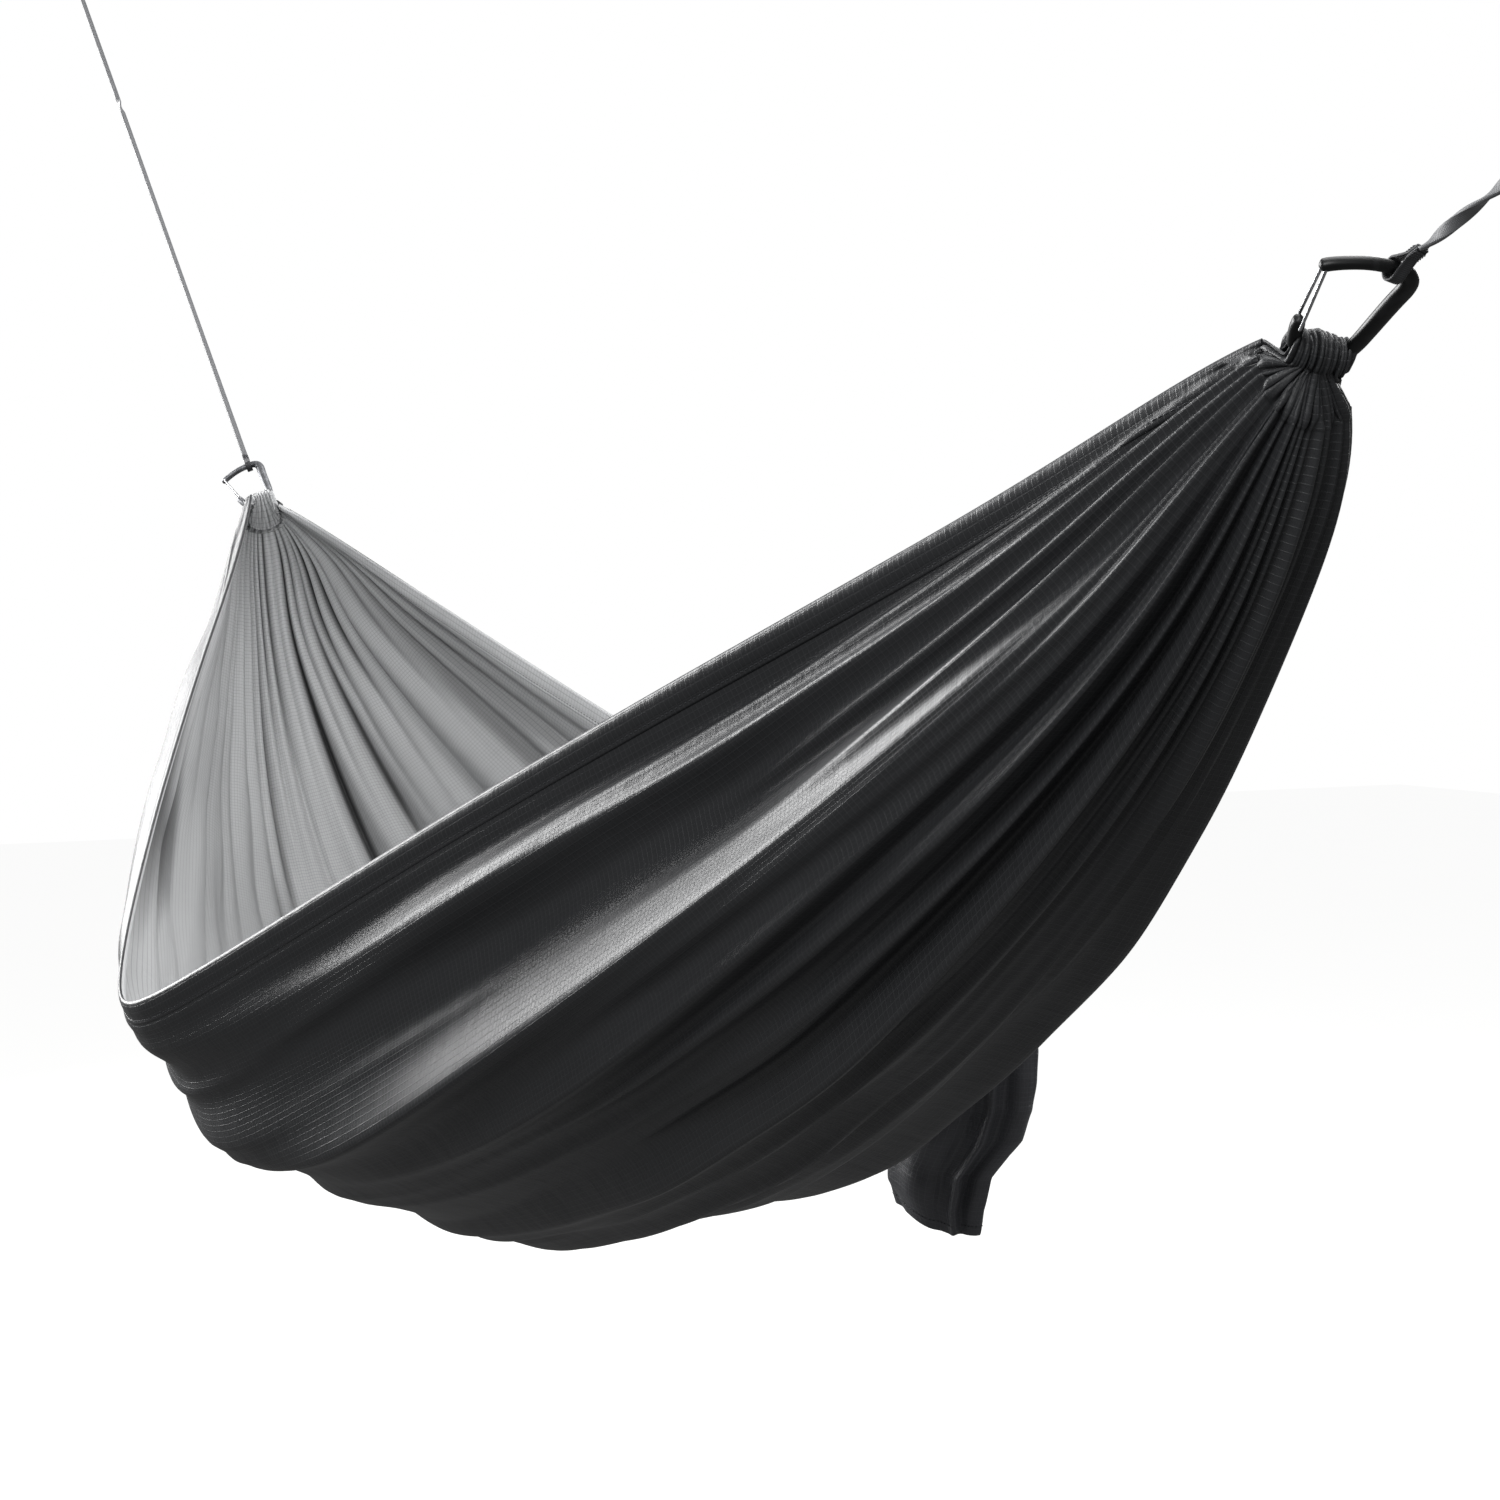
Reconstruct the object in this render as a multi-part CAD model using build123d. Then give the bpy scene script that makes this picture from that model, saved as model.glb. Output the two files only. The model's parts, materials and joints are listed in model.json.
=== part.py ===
from build123d import *
import os
from math import atan2, cos, degrees, pi, radians, sin, sqrt, tan

# Gathered-end camping hammock, hung up, in millimetres. +Z is up, +X runs from the foot end to the
# head end, and the origin is where the head strap's loop hangs in its anchor ring.
# "near" is the hem on the -Y side and "far" the hem on the +Y side.

# ---- bed sheet: where the two gathers are, and how far each thread hangs from the line between them
SPAN = 2036.0            # head gather to foot gather, where all lengthwise threads meet
GATHER_Z = -10.0         # height of the line between the gathers, from the straps' datum
BELLY_REACH = 727.0      # mid-length distance of the middle thread from that line
NEAR_HEM_REACH = 660.0
FAR_HEM_REACH = 628.0
NEAR_HEM_ANGLE = 40.5    # from straight down, towards -Y
FAR_HEM_ANGLE = 45.0     # from straight down, towards +Y
FOOT_LEAN = 0.17         # the foot half hangs deeper, because its strap is steeper
APEX_ROUNDING = 0.05     # softens the turn of every thread at mid-length, as a share of half the span
BUNCH_RADIUS = 16.0      # the threads' bunch where they meet
SHEET_THICKNESS = 2.4
HEM_WIDTH = 11.0
HEM_THICKNESS = 4.0
SHEET_END = 0.965        # the sheet's last full section, as a share of half the span
STATIONS = (0.0, 0.15, 0.3, 0.45, 0.6, 0.72, 0.82, 0.9, SHEET_END)
END_NOTCH = (32.0, -42.0, 7.0)   # the closing section: in from the gather, height, radius

# ---- carabiner, drawn in its own plane: first value across (gate to spine), second along
BAR_RADIUS = 3.8
SPINE_THICKENING = 2.9
CARABINER_ROUTE = ((-31, 59.5), (-12, 66.5), (17.5, 61), (12, -4.5), (-17, -4.5), (-23.5, 15))
CARABINER_BENDS = (26, 10, 9, 8)
BASKET = (-2.5, -4.5)    # middle of the closed end, inside the bunched sheet
SEAT = (8.0, 62.7)       # where the strap's loop sits on the other end
GATE_WIRE_RADIUS = 0.95
GATE_PIVOT = (-22.6, 12.0)
GATE_TIP = (-28.2, 56.3)
GATE_WIDTH = 5.2         # between the gate's two wires
GATE_CLEARANCE = 0.35

# ---- straps
STRAP_DIAMETER = 5.2
LOOP_WIDTH = 7.0
LOOP_THICKNESS = 1.6
CLIP_LOOP_PLAY = 1.8     # between a loop and the carabiner's bar
ANCHOR_LOOP_PLAY = 2.6   # between a loop and the anchor ring's wire
THROAT_END = 22.0        # a loop's throat ends this far from the loop's centre
RING_RADIUS = 20.0
RING_WIRE_RADIUS = 3.0
BARTACK_LENGTH = 6.0
BARTACK_THICKNESS = 0.7

# ---- bunched ends
BUNDLE_PLY = 10.7        # the bunched cloth's depth over the basket bar
BUNDLE_WIDTH = 21.0
BUNDLE_TAIL = 27.0
TAIL_RADIUS = 9.0
GATHER_CORD_RADIUS = 2.0
GATHER_CORD_DEPTH = 5.8  # from the basket bar's surface to the middle of the gather cord

# ---- stuff sack on the far hem
SACK_X = -60.0
SACK_TOP = 34.0          # below the far hem
SACK_WALL_OUT = 9.2      # from the far hem out to the middle of the mouth's nearer wall
SACK_LENGTH = 300.0
SACK_HALF_WIDTH = 76.0
SACK_HALF_DEPTH = 30.0
SACK_WALL = 2.0
SACK_TURN = 25.0         # the sack's broad side, turned from the hem's direction
CHANNEL_HEIGHT = 20.0
TAB_WIDTH = 15.0
# The tab's two halves, seen along the hem: outward from and above the hem's edge.
TAB_UPPER = ((8.4, 5.55), (5.0, 2.15), (13.6, -16.0), (15.6, -16.0))
TAB_LOWER = ((13.8, -17.4), (15.4, -17.4), (11.2, -SACK_TOP), (8.4, -SACK_TOP))
DRAWCORD_RADIUS = 1.5
DRAWCORD_REACH = 95.0    # from the mouth channel down to the knot
# Each of its two strands: sideways from the middle, outward from the channel and down from the mouth.
STRAND_ROUTE = ((5.0, 0.8, 10.0), (5.0, 13.8, 15.0), (5.0, 17.0, 40.0), (6.0, 15.0, 68.0))
STRAND_MEET = 2.2        # from the middle to a strand's end at the knot
KNOT_RADIUS = 6.5
KNOT_PLAY = 1.0          # between the knot and the sack's fullest wall

# ---- each end: name, which way it points along X, the basket's place in from and below the gather,
# carabiner's slope, its turn, strap's slope, length
ENDS = (
    dict(name="head", way=1, inset=5.0, below=10.0, slope=32.0, turn=16.0, strap_slope=23.0, reach=122.0),
    dict(name="foot", way=-1, inset=8.0, below=12.0, slope=43.0, turn=28.0, strap_slope=40.5, reach=1255.0),
)


def sheet_radius(s, v):
    """Distance of a thread from the gather line: s runs -1 head to +1 foot, v -1 near to +1 far hem."""
    share = v * v
    if v < 0:
        reach, power, fullness = NEAR_HEM_REACH, 1.05, 1.06
    else:
        reach, power, fullness = FAR_HEM_REACH, 1.57, 1.37
    reach = BELLY_REACH * (1 - share) + reach * share
    power = 1.67 * (1 - share) + power * share
    fullness = 0.525 * (1 - share) + fullness * share
    along = min(sqrt(s * s + APEX_ROUNDING ** 2), 1.0)
    hang = reach * (1 - along ** power) ** fullness * (1 + FOOT_LEAN * s)
    return sqrt(hang ** 2 + BUNCH_RADIUS ** 2)


def hem_angle(v):
    return v * (NEAR_HEM_ANGLE if v < 0 else FAR_HEM_ANGLE)


def polar(x, radius, angle, centre_z=GATHER_Z):
    """A point on a section across the bed: the angle is from straight down, towards +Y."""
    return Vector(x, radius * sin(radians(angle)), centre_z - radius * cos(radians(angle)))


def closed_section(outer, inner):
    """A thin band between an outer and an inner run of points."""
    edges = [Spline(*outer), Line(outer[-1], inner[-1]), Spline(*reversed(inner)), Line(inner[0], outer[0])]
    return Face(Wire(edges))


def sheet_section(s):
    x = -s * SPAN / 2
    steps = [i / 5 for i in range(-5, 6)]
    outer = [polar(x, sheet_radius(s, v), hem_angle(v)) for v in steps]
    inner = [polar(x, sheet_radius(s, v) - SHEET_THICKNESS, hem_angle(v)) for v in steps]
    return closed_section(outer, inner)


def closing_section(way):
    inset, height, radius = END_NOTCH
    x = way * (SPAN / 2 - inset)
    angles = [i * 14 for i in range(-5, 6)]
    outer = [polar(x, radius, a, height) for a in angles]
    inner = [polar(x, radius - SHEET_THICKNESS, a, height) for a in angles]
    return closed_section(outer, inner)


def hem_section(s, side):
    """The rolled hem beyond the sheet's edge, a little thicker than the sheet."""
    x = -s * SPAN / 2
    radius = sheet_radius(s, side)
    angle = hem_angle(side)
    proud = (HEM_THICKNESS - SHEET_THICKNESS) / 2
    turn = side * degrees(HEM_WIDTH / radius) if radius > 60 else side * degrees(HEM_WIDTH / 60)
    corners = [polar(x, radius + proud, angle), polar(x, radius - SHEET_THICKNESS - proud, angle),
               polar(x, radius - SHEET_THICKNESS - proud, angle + turn), polar(x, radius + proud, angle + turn)]
    return Face(Wire.make_polygon(corners, close=True))


def stations():
    return [-s for s in reversed(STATIONS[1:])] + list(STATIONS)


def bed_pieces():
    sections = [closing_section(1)] + [sheet_section(s) for s in stations()] + [closing_section(-1)]
    return {
        "bed_sheet": loft(sections, ruled=True),
        "near_hem": loft([hem_section(s, -1) for s in stations()], ruled=True),
        "far_hem": loft([hem_section(s, 1) for s in stations()], ruled=True),
    }


def straight_tube(start, end, radius):
    along = end - start
    return Solid.make_cylinder(radius, along.length, Plane(start, z_dir=along))


def end_frame(end):
    """The carabiner's plane at one end, with its load line, and the strap's direction."""
    way = end["way"]
    load = Vector(way * cos(radians(end["slope"])), 0, sin(radians(end["slope"])))
    across = Vector(0, 1, 0)
    square = load.cross(across)
    turned = across * cos(radians(end["turn"])) - square * sin(radians(end["turn"]))
    cant = atan2(SEAT[0] - BASKET[0], SEAT[1] - BASKET[1])
    u_dir = turned * cos(cant) + load * sin(cant)
    v_dir = load * cos(cant) - turned * sin(cant)
    basket = Vector(way * (SPAN / 2 - end["inset"]), 0, GATHER_Z - end["below"])
    origin = basket - u_dir * BASKET[0] - v_dir * BASKET[1]
    plane = Plane(origin, x_dir=u_dir, z_dir=u_dir.cross(v_dir))
    strap = Vector(way * cos(radians(end["strap_slope"])), 0, sin(radians(end["strap_slope"])))
    seat = origin + u_dir * SEAT[0] + v_dir * SEAT[1]
    return dict(plane=plane, load=load, turned=turned, strap=strap, seat=seat, basket=basket)


def carabiner_frame():
    """Forged bar bent to a D, open between the nose and the gate's arm, with a thicker spine."""
    route = FilletPolyline(*CARABINER_ROUTE, radius=list(CARABINER_BENDS))
    bar = sweep(Plane(route @ 0, z_dir=route % 0) * Circle(BAR_RADIUS), path=route)
    bar += Pos(*CARABINER_ROUTE[0], 0) * Sphere(BAR_RADIUS)
    bar += Pos(*CARABINER_ROUTE[-1], 0) * Sphere(BAR_RADIUS)
    top = Vector(*CARABINER_ROUTE[2])
    foot = Vector(*CARABINER_ROUTE[3])
    down = (foot - top).normalized()
    aside = Vector(-down.Y, down.X) * SPINE_THICKENING
    start = top + down * CARABINER_BENDS[1] + aside
    stop = foot - down * CARABINER_BENDS[2] + aside
    bar += straight_tube(start, stop, BAR_RADIUS)
    bar += Pos(*start) * Sphere(BAR_RADIUS)
    bar += Pos(*stop) * Sphere(BAR_RADIUS)
    pivot_bore = GATE_WIRE_RADIUS + GATE_CLEARANCE
    bar -= Pos(*GATE_PIVOT, 0) * Cylinder(pivot_bore, 4 * BAR_RADIUS)
    return bar - gate_notch()


def gate_notch():
    """The cut in the nose that the gate's end drops into from the inside."""
    reach = GATE_WIRE_RADIUS + GATE_CLEARANCE
    slot = Box(30, 2 * reach + 1.2, 4 * BAR_RADIUS, align=(Align.MIN, Align.CENTER, Align.CENTER))
    slot = Pos(-reach, 0, 0) * slot
    along = Vector(*GATE_TIP) - Vector(*GATE_PIVOT)
    lean = degrees(atan2(along.Y, along.X)) - 90
    cut = Pos(*GATE_TIP, 0) * Rot(0, 0, lean) * slot
    arm_side = Pos(*GATE_PIVOT, 0) * Rot(0, 0, lean) * Pos(0, 9, 0)
    relief = arm_side * Box(30, 9, 4 * BAR_RADIUS, align=(Align.MIN, Align.CENTER, Align.CENTER))
    return cut + relief


def gate_wire():
    """A sprung wire loop: its two feet turn in the arm and its closed end lies in the nose."""
    pivot = Vector(*GATE_PIVOT)
    tip = Vector(*GATE_TIP)
    half = BAR_RADIUS + GATE_CLEARANCE + GATE_WIRE_RADIUS
    side = Vector(0, 0, 1)
    points = [pivot + side * (BAR_RADIUS - 2.2), pivot + side * half, tip + side * (GATE_WIDTH / 2 + 0.6),
              tip - side * (GATE_WIDTH / 2 + 0.6), pivot - side * half, pivot - side * (BAR_RADIUS - 2.2)]
    route = FilletPolyline(*points, radius=[1.4, 1.6, 1.6, 1.4])
    return sweep(Plane(route @ 0, z_dir=route % 0) * Circle(GATE_WIRE_RADIUS), path=route)


def webbing_loop(centre, direction, axis, inner_radius):
    """A sewn loop: webbing round a bar, whose two plies meet in a throat along the strap."""
    square = (axis - direction * axis.dot(direction)).normalized()
    plane = Plane(centre, x_dir=direction, z_dir=square)
    outer = inner_radius + LOOP_THICKNESS
    profile = Circle(outer) + Pos(outer / 2 + 2, 0) * Rectangle(outer + 4, 2 * LOOP_THICKNESS + 2.4)
    profile += Pos((outer + THROAT_END) / 2, 0) * Rectangle(THROAT_END - outer, 2 * LOOP_THICKNESS)
    profile -= Circle(inner_radius)
    return plane * extrude(profile, LOOP_WIDTH / 2, both=True)


def bartack(centre, direction, axis):
    """The dense stitching that holds a loop's throat closed, as a band round it."""
    square = (axis - direction * axis.dot(direction)).normalized()
    plane = Plane(centre + direction * (THROAT_END - BARTACK_LENGTH), x_dir=direction, z_dir=square)
    inner = Box(BARTACK_LENGTH, 2 * LOOP_THICKNESS, LOOP_WIDTH)
    grown = 2 * BARTACK_THICKNESS
    outer = Box(BARTACK_LENGTH, 2 * LOOP_THICKNESS + grown, LOOP_WIDTH + grown)
    return plane * (outer - inner)


def strap_pieces(end, frame):
    name = end["name"]
    hook = frame["seat"] + frame["strap"] * end["reach"]
    across = Vector(0, 1, 0)
    start = frame["seat"] + frame["strap"] * THROAT_END
    stop = hook - frame["strap"] * THROAT_END
    back = frame["strap"] * -1
    clip_radius = BAR_RADIUS + CLIP_LOOP_PLAY
    anchor_radius = RING_WIRE_RADIUS + ANCHOR_LOOP_PLAY
    ring_plane = Plane(hook + frame["strap"] * RING_RADIUS, x_dir=frame["strap"],
                       z_dir=frame["strap"].cross(across))
    return {
        f"{name}_anchor_ring": ring_plane * Torus(RING_RADIUS, RING_WIRE_RADIUS),
        f"{name}_strap": straight_tube(start, stop, STRAP_DIAMETER / 2),
        f"{name}_clip_loop": webbing_loop(frame["seat"], frame["strap"], frame["turned"], clip_radius),
        f"{name}_clip_bartack": bartack(frame["seat"], frame["strap"], frame["turned"]),
        f"{name}_anchor_loop": webbing_loop(hook, back, across, anchor_radius),
        f"{name}_anchor_bartack": bartack(hook, back, across),
    }


def bundle_pieces(name, plane, carabiner):
    """The sheet's end channel bunched over the basket, and the cord that gathers it, inside."""
    barrel = Rot(0, 90, 0) * Cylinder(BAR_RADIUS + BUNDLE_PLY, BUNDLE_WIDTH)
    tail = Solid.make_cone(BUNDLE_WIDTH / 2, TAIL_RADIUS, BUNDLE_TAIL, Plane((0, 0, 0), z_dir=(0, -1, 0)))
    cord = Rot(0, 90, 0) * Torus(BAR_RADIUS + GATHER_CORD_DEPTH, GATHER_CORD_RADIUS)
    place = plane * Pos(*BASKET, 0)
    return {
        f"{name}_end_channel": place * (barrel + tail - cord) - plane * carabiner,
        f"{name}_gather_cord": place * cord,
    }


def end_pieces(end):
    frame = end_frame(end)
    name = end["name"]
    pieces = strap_pieces(end, frame)
    carabiner = carabiner_frame()
    pieces[f"{name}_carabiner"] = frame["plane"] * carabiner
    pieces[f"{name}_gate"] = frame["plane"] * gate_wire()
    pieces.update(bundle_pieces(name, frame["plane"], carabiner))
    return pieces


def sack_pieces():
    """An empty drawstring sack: tube, bottom panel, mouth channel with its cord, and the tab it hangs by."""
    hem = far_hem_edge()
    shape = [(0, 0.86, 0.7), (-0.3, 1.0, 1.0), (-0.7, 0.96, 0.9), (-1, 0.74, 0.55)]
    skins = [[Pos(0, 0, z * SACK_LENGTH - CHANNEL_HEIGHT) * Ellipse(w * SACK_HALF_WIDTH - inset,
              d * SACK_HALF_DEPTH - inset) for z, w, d in shape] for inset in (0, SACK_WALL)]
    body = loft(skins[0]) - loft(skins[1])
    low_z = -SACK_LENGTH - CHANNEL_HEIGHT
    low_width, low_depth = shape[-1][1] * SACK_HALF_WIDTH, shape[-1][2] * SACK_HALF_DEPTH
    bottom = extrude(Pos(0, 0, low_z - SACK_WALL) * Ellipse(low_width + 1.5, low_depth + 1.5), SACK_WALL)
    top_width, top_depth = shape[0][1] * SACK_HALF_WIDTH, shape[0][2] * SACK_HALF_DEPTH
    turn = radians(SACK_TURN)
    mouth_out = 1 / sqrt((sin(turn) / top_width) ** 2 + (cos(turn) / top_depth) ** 2)
    middle = Vector(SACK_X, hem.Y + SACK_WALL_OUT + mouth_out, hem.Z - SACK_TOP)
    place = Pos(*middle) * Rot(0, 0, SACK_TURN)
    thick = SACK_WALL + 2 * DRAWCORD_RADIUS
    outer = Pos(0, 0, -CHANNEL_HEIGHT) * Ellipse(top_width + thick / 2, top_depth + thick / 2)
    inner = Pos(0, 0, -CHANNEL_HEIGHT) * Ellipse(top_width - thick / 2, top_depth - thick / 2)
    channel = extrude(outer, CHANNEL_HEIGHT) - extrude(inner, CHANNEL_HEIGHT)
    cord_path = Pos(0, 0, -CHANNEL_HEIGHT / 2) * Ellipse(top_width, top_depth).edge()
    cord_plane = Plane(cord_path @ 0, z_dir=cord_path % 0)
    cord = sweep(cord_plane * Circle(DRAWCORD_RADIUS), path=cord_path)
    channel -= cord
    exit_y = top_depth + thick / 2
    pieces = {
        "sack_body": place * body,
        "sack_bottom": place * bottom,
        "sack_mouth_channel": place * channel,
        "sack_drawcord": place * cord,
    }
    knot = Vector(0, SACK_HALF_DEPTH + KNOT_PLAY + KNOT_RADIUS, -CHANNEL_HEIGHT / 2 - DRAWCORD_REACH)
    for side, word in ((-1, "left"), (1, "right")):
        points = [Vector(side * aside, exit_y + out, -down) for aside, out, down in STRAND_ROUTE]
        points.append(knot + Vector(side * STRAND_MEET, 0, KNOT_RADIUS + DRAWCORD_RADIUS + 0.2))
        runs = [(b - a).length for a, b in zip(points, points[1:])]
        turns = [(b - a).get_angle(c - b) for a, b, c in zip(points, points[1:], points[2:])]
        radii = [0.45 * min(a, b) / tan(radians(t / 2)) for a, b, t in zip(runs, runs[1:], turns)]
        print(word, "drawcord strand radii", [round(r, 1) for r in radii])
        route = FilletPolyline(*points, radius=radii)
        tube = sweep(Plane(route @ 0, z_dir=route % 0) * Circle(DRAWCORD_RADIUS), path=route)
        whole = pi * DRAWCORD_RADIUS ** 2 * route.length
        print(word, "strand volume over section times length", round(tube.volume / whole, 3))
        pieces[f"sack_drawcord_{word}"] = place * tube
    pieces["sack_knot"] = place * Pos(*knot) * Sphere(KNOT_RADIUS)
    pieces["hem_tab"] = tab(hem, TAB_UPPER)
    pieces["sack_tab"] = tab(hem, TAB_LOWER)
    return pieces


def far_hem_edge():
    """The middle of the sheet's far edge, where the sack hangs."""
    return polar(SACK_X, sheet_radius(-2 * SACK_X / SPAN, 1) - SHEET_THICKNESS / 2, FAR_HEM_ANGLE)


def tab(hem, outline):
    """One half of the folded ribbon that ties the sack to the far hem."""
    corners = [hem + Vector(-TAB_WIDTH / 2, *corner) for corner in outline]
    return extrude(Face(Wire.make_polygon(corners, close=True)), TAB_WIDTH, dir=(1, 0, 0))


def main():
    os.makedirs("parts", exist_ok=True)
    pieces = bed_pieces()
    for end in ENDS:
        pieces.update(end_pieces(end))
    pieces.update(sack_pieces())
    frame = end_frame(ENDS[0])
    datum = frame["seat"] + frame["strap"] * ENDS[0]["reach"]
    for name, piece in pieces.items():
        export_step(Pos(*(datum * -1)) * piece, f"parts/{name}.step")


main()
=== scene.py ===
"""Gathered-end camping hammock, hung up: cloth, hems, end channels, straps, hardware and stuff sack."""

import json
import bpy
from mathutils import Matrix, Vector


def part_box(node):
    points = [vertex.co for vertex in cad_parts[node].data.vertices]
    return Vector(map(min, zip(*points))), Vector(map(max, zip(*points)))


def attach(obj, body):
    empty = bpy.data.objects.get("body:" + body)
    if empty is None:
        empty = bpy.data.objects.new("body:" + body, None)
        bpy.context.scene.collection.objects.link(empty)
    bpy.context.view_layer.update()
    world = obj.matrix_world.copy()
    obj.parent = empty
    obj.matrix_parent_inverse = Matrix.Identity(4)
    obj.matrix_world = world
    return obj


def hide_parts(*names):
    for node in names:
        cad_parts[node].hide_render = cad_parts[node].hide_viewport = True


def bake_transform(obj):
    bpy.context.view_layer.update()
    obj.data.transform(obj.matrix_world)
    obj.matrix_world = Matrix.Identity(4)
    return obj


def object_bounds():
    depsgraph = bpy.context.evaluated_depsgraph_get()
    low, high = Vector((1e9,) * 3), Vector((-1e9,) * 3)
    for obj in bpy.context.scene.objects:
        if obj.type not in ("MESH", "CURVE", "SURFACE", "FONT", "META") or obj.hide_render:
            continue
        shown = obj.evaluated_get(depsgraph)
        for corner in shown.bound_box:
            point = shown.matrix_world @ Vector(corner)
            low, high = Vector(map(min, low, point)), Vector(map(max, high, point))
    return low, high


bl_info = {
    "name": "Camping Hammock",
    "version": (1, 0, 0),
    "blender": (4, 5, 0),
    "location": "3D View > Sidebar > Hammock",
    "description": "Dresses the hammock's frame in cloth, webbing, cord and metal",
    "category": "Add Mesh",
}

from math import atan2, cos, pi, radians, sin

import bpy
import numpy as np
from bpy.props import FloatProperty, FloatVectorProperty, IntProperty, PointerProperty, StringProperty
from mathutils import Vector

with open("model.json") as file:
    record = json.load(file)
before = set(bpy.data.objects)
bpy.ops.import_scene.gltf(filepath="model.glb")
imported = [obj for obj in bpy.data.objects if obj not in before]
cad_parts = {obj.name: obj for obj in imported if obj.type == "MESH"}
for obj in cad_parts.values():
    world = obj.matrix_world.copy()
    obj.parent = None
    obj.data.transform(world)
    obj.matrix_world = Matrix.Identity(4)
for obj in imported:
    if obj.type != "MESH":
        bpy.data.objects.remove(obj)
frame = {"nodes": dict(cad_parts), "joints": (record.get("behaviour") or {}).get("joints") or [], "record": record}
CAD_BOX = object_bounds()
JOINTS = {joint["name"]: joint for joint in frame["joints"]}
ENDS = ("head", "foot")
RNG_SEED = 7

# ---- where the bed hangs: the sheet's box read from the frame, and given offsets
SHEET_LOW, SHEET_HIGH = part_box("bed_sheet")
END_INSET = 0.032        # from a gather to the sheet solid's closed end
MID_X = (SHEET_LOW.x + SHEET_HIGH.x) / 2
HALF_SPAN = (SHEET_HIGH.x - SHEET_LOW.x) / 2 + END_INSET
GATHER_RISE = 0.010      # the threads meet this far above the middle of the basket
HEM_LIFT = 0.018         # the near hem ends this much higher beside each basket
BASKET_LEAN = radians(8.88)   # the basket bar's lean from square to the pull


def middle(node):
    low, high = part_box(node)
    return np.array((low + high) / 2)


GATHER_Z = middle("head_gather_cord")[2] + GATHER_RISE


# ---------------------------------------------------------------- sizes and colours
class ClothSettings(bpy.types.PropertyGroup):
    flat_width: FloatProperty(name="Flat width", description="Hem to hem, laid flat", default=1.18,
                              unit="LENGTH")
    flat_length: FloatProperty(name="Flat length", description="Channel to channel, laid flat", default=2.60,
                               unit="LENGTH")
    belly_reach: FloatProperty(name="Belly depth", description="Middle thread below the gather line",
                               default=0.727, unit="LENGTH")
    near_reach: FloatProperty(name="Near hem reach", description="Near hem from the gather line",
                              default=0.660, unit="LENGTH")
    far_reach: FloatProperty(name="Far hem reach", description="Far hem from the gather line",
                             default=0.628, unit="LENGTH")
    near_angle: FloatProperty(name="Near hem angle", description="From straight down, towards -Y",
                              default=radians(40.5), subtype="ANGLE")
    far_angle: FloatProperty(name="Far hem angle", description="From straight down, towards +Y",
                             default=radians(45.0), subtype="ANGLE")
    foot_lean: FloatProperty(name="Foot lean", description="How much deeper the foot half hangs",
                             default=0.17)
    bunch_radius: FloatProperty(name="Bunch radius", description="Of the threads where they meet",
                                default=0.021, unit="LENGTH")
    thickness: FloatProperty(name="Cloth thickness", default=0.0014, unit="LENGTH",
                             description="Drawn thicker than the 0.1 mm of the real cloth")
    head_pleats: IntProperty(name="Head pleats", description="Pleats that run from the head gather",
                             default=26)
    foot_pleats: IntProperty(name="Foot pleats", description="Pleats that run from the foot gather",
                             default=24)
    hem_width: FloatProperty(name="Hem width", description="Edge to stitch line", default=0.018,
                             unit="LENGTH")
    square: FloatProperty(name="Ripstop square", description="Spacing of the thicker threads", default=0.005,
                          unit="LENGTH")
    outside: StringProperty(name="Outside colour", description="sRGB hex", default="#2a2b2d")
    # The inside colour is partly a paler back face and partly painted light, light through and onto thin nylon.
    inside: StringProperty(name="Inside colour", description="sRGB hex", default="#cfd0d1")


class StageSettings(bpy.types.PropertyGroup):
    camera_place: FloatVectorProperty(name="Camera place", description="From the head anchor", size=3,
                                      default=(0.868, -0.881, -0.222), subtype="TRANSLATION")
    azimuth: FloatProperty(name="Azimuth", description="0 looks along +Y and 90 along -X",
                           default=radians(62.68), subtype="ANGLE")
    pitch: FloatProperty(name="Pitch", description="Below level", default=radians(3.31), subtype="ANGLE")
    lens: FloatProperty(name="Lens", description="In millimetres on a 36 mm frame", default=58.8)
    floor_drop: FloatProperty(name="Floor drop", description="From the lowest point to the floor",
                              default=0.90, unit="LENGTH")


# ---------------------------------------------------------------- materials
def linear(code, alpha=1.0):
    """sRGB hex to linear RGBA."""
    raw = np.array([int(code[i:i + 2], 16) for i in (1, 3, 5)]) / 255
    value = np.where(raw <= 0.04045, raw / 12.92, ((raw + 0.055) / 1.055) ** 2.4)
    return (*value.tolist(), alpha)


def add_node(tree, kind, inputs=None, **settings):
    """Adds a node with its settings, and gives each named input a value or a link."""
    node = tree.nodes.new(kind)
    for name, value in settings.items():
        setattr(node, name, value)
    for name, value in (inputs or {}).items():
        if isinstance(value, bpy.types.NodeSocket):
            tree.links.new(value, node.inputs[name])
        else:
            node.inputs[name].default_value = value
    return node


def start_material(name, **sockets):
    """A new material, its node tree and its shader, with the given shader sockets set."""
    material = bpy.data.materials.new(name)
    material.use_nodes = True
    shader = material.node_tree.nodes["Principled BSDF"]
    for socket, value in sockets.items():
        shader.inputs[socket.replace("_", " ")].default_value = value
    return material, material.node_tree, shader


WAVE_PITCH = pi / 10     # a wave texture of scale 1 repeats after this length


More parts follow.
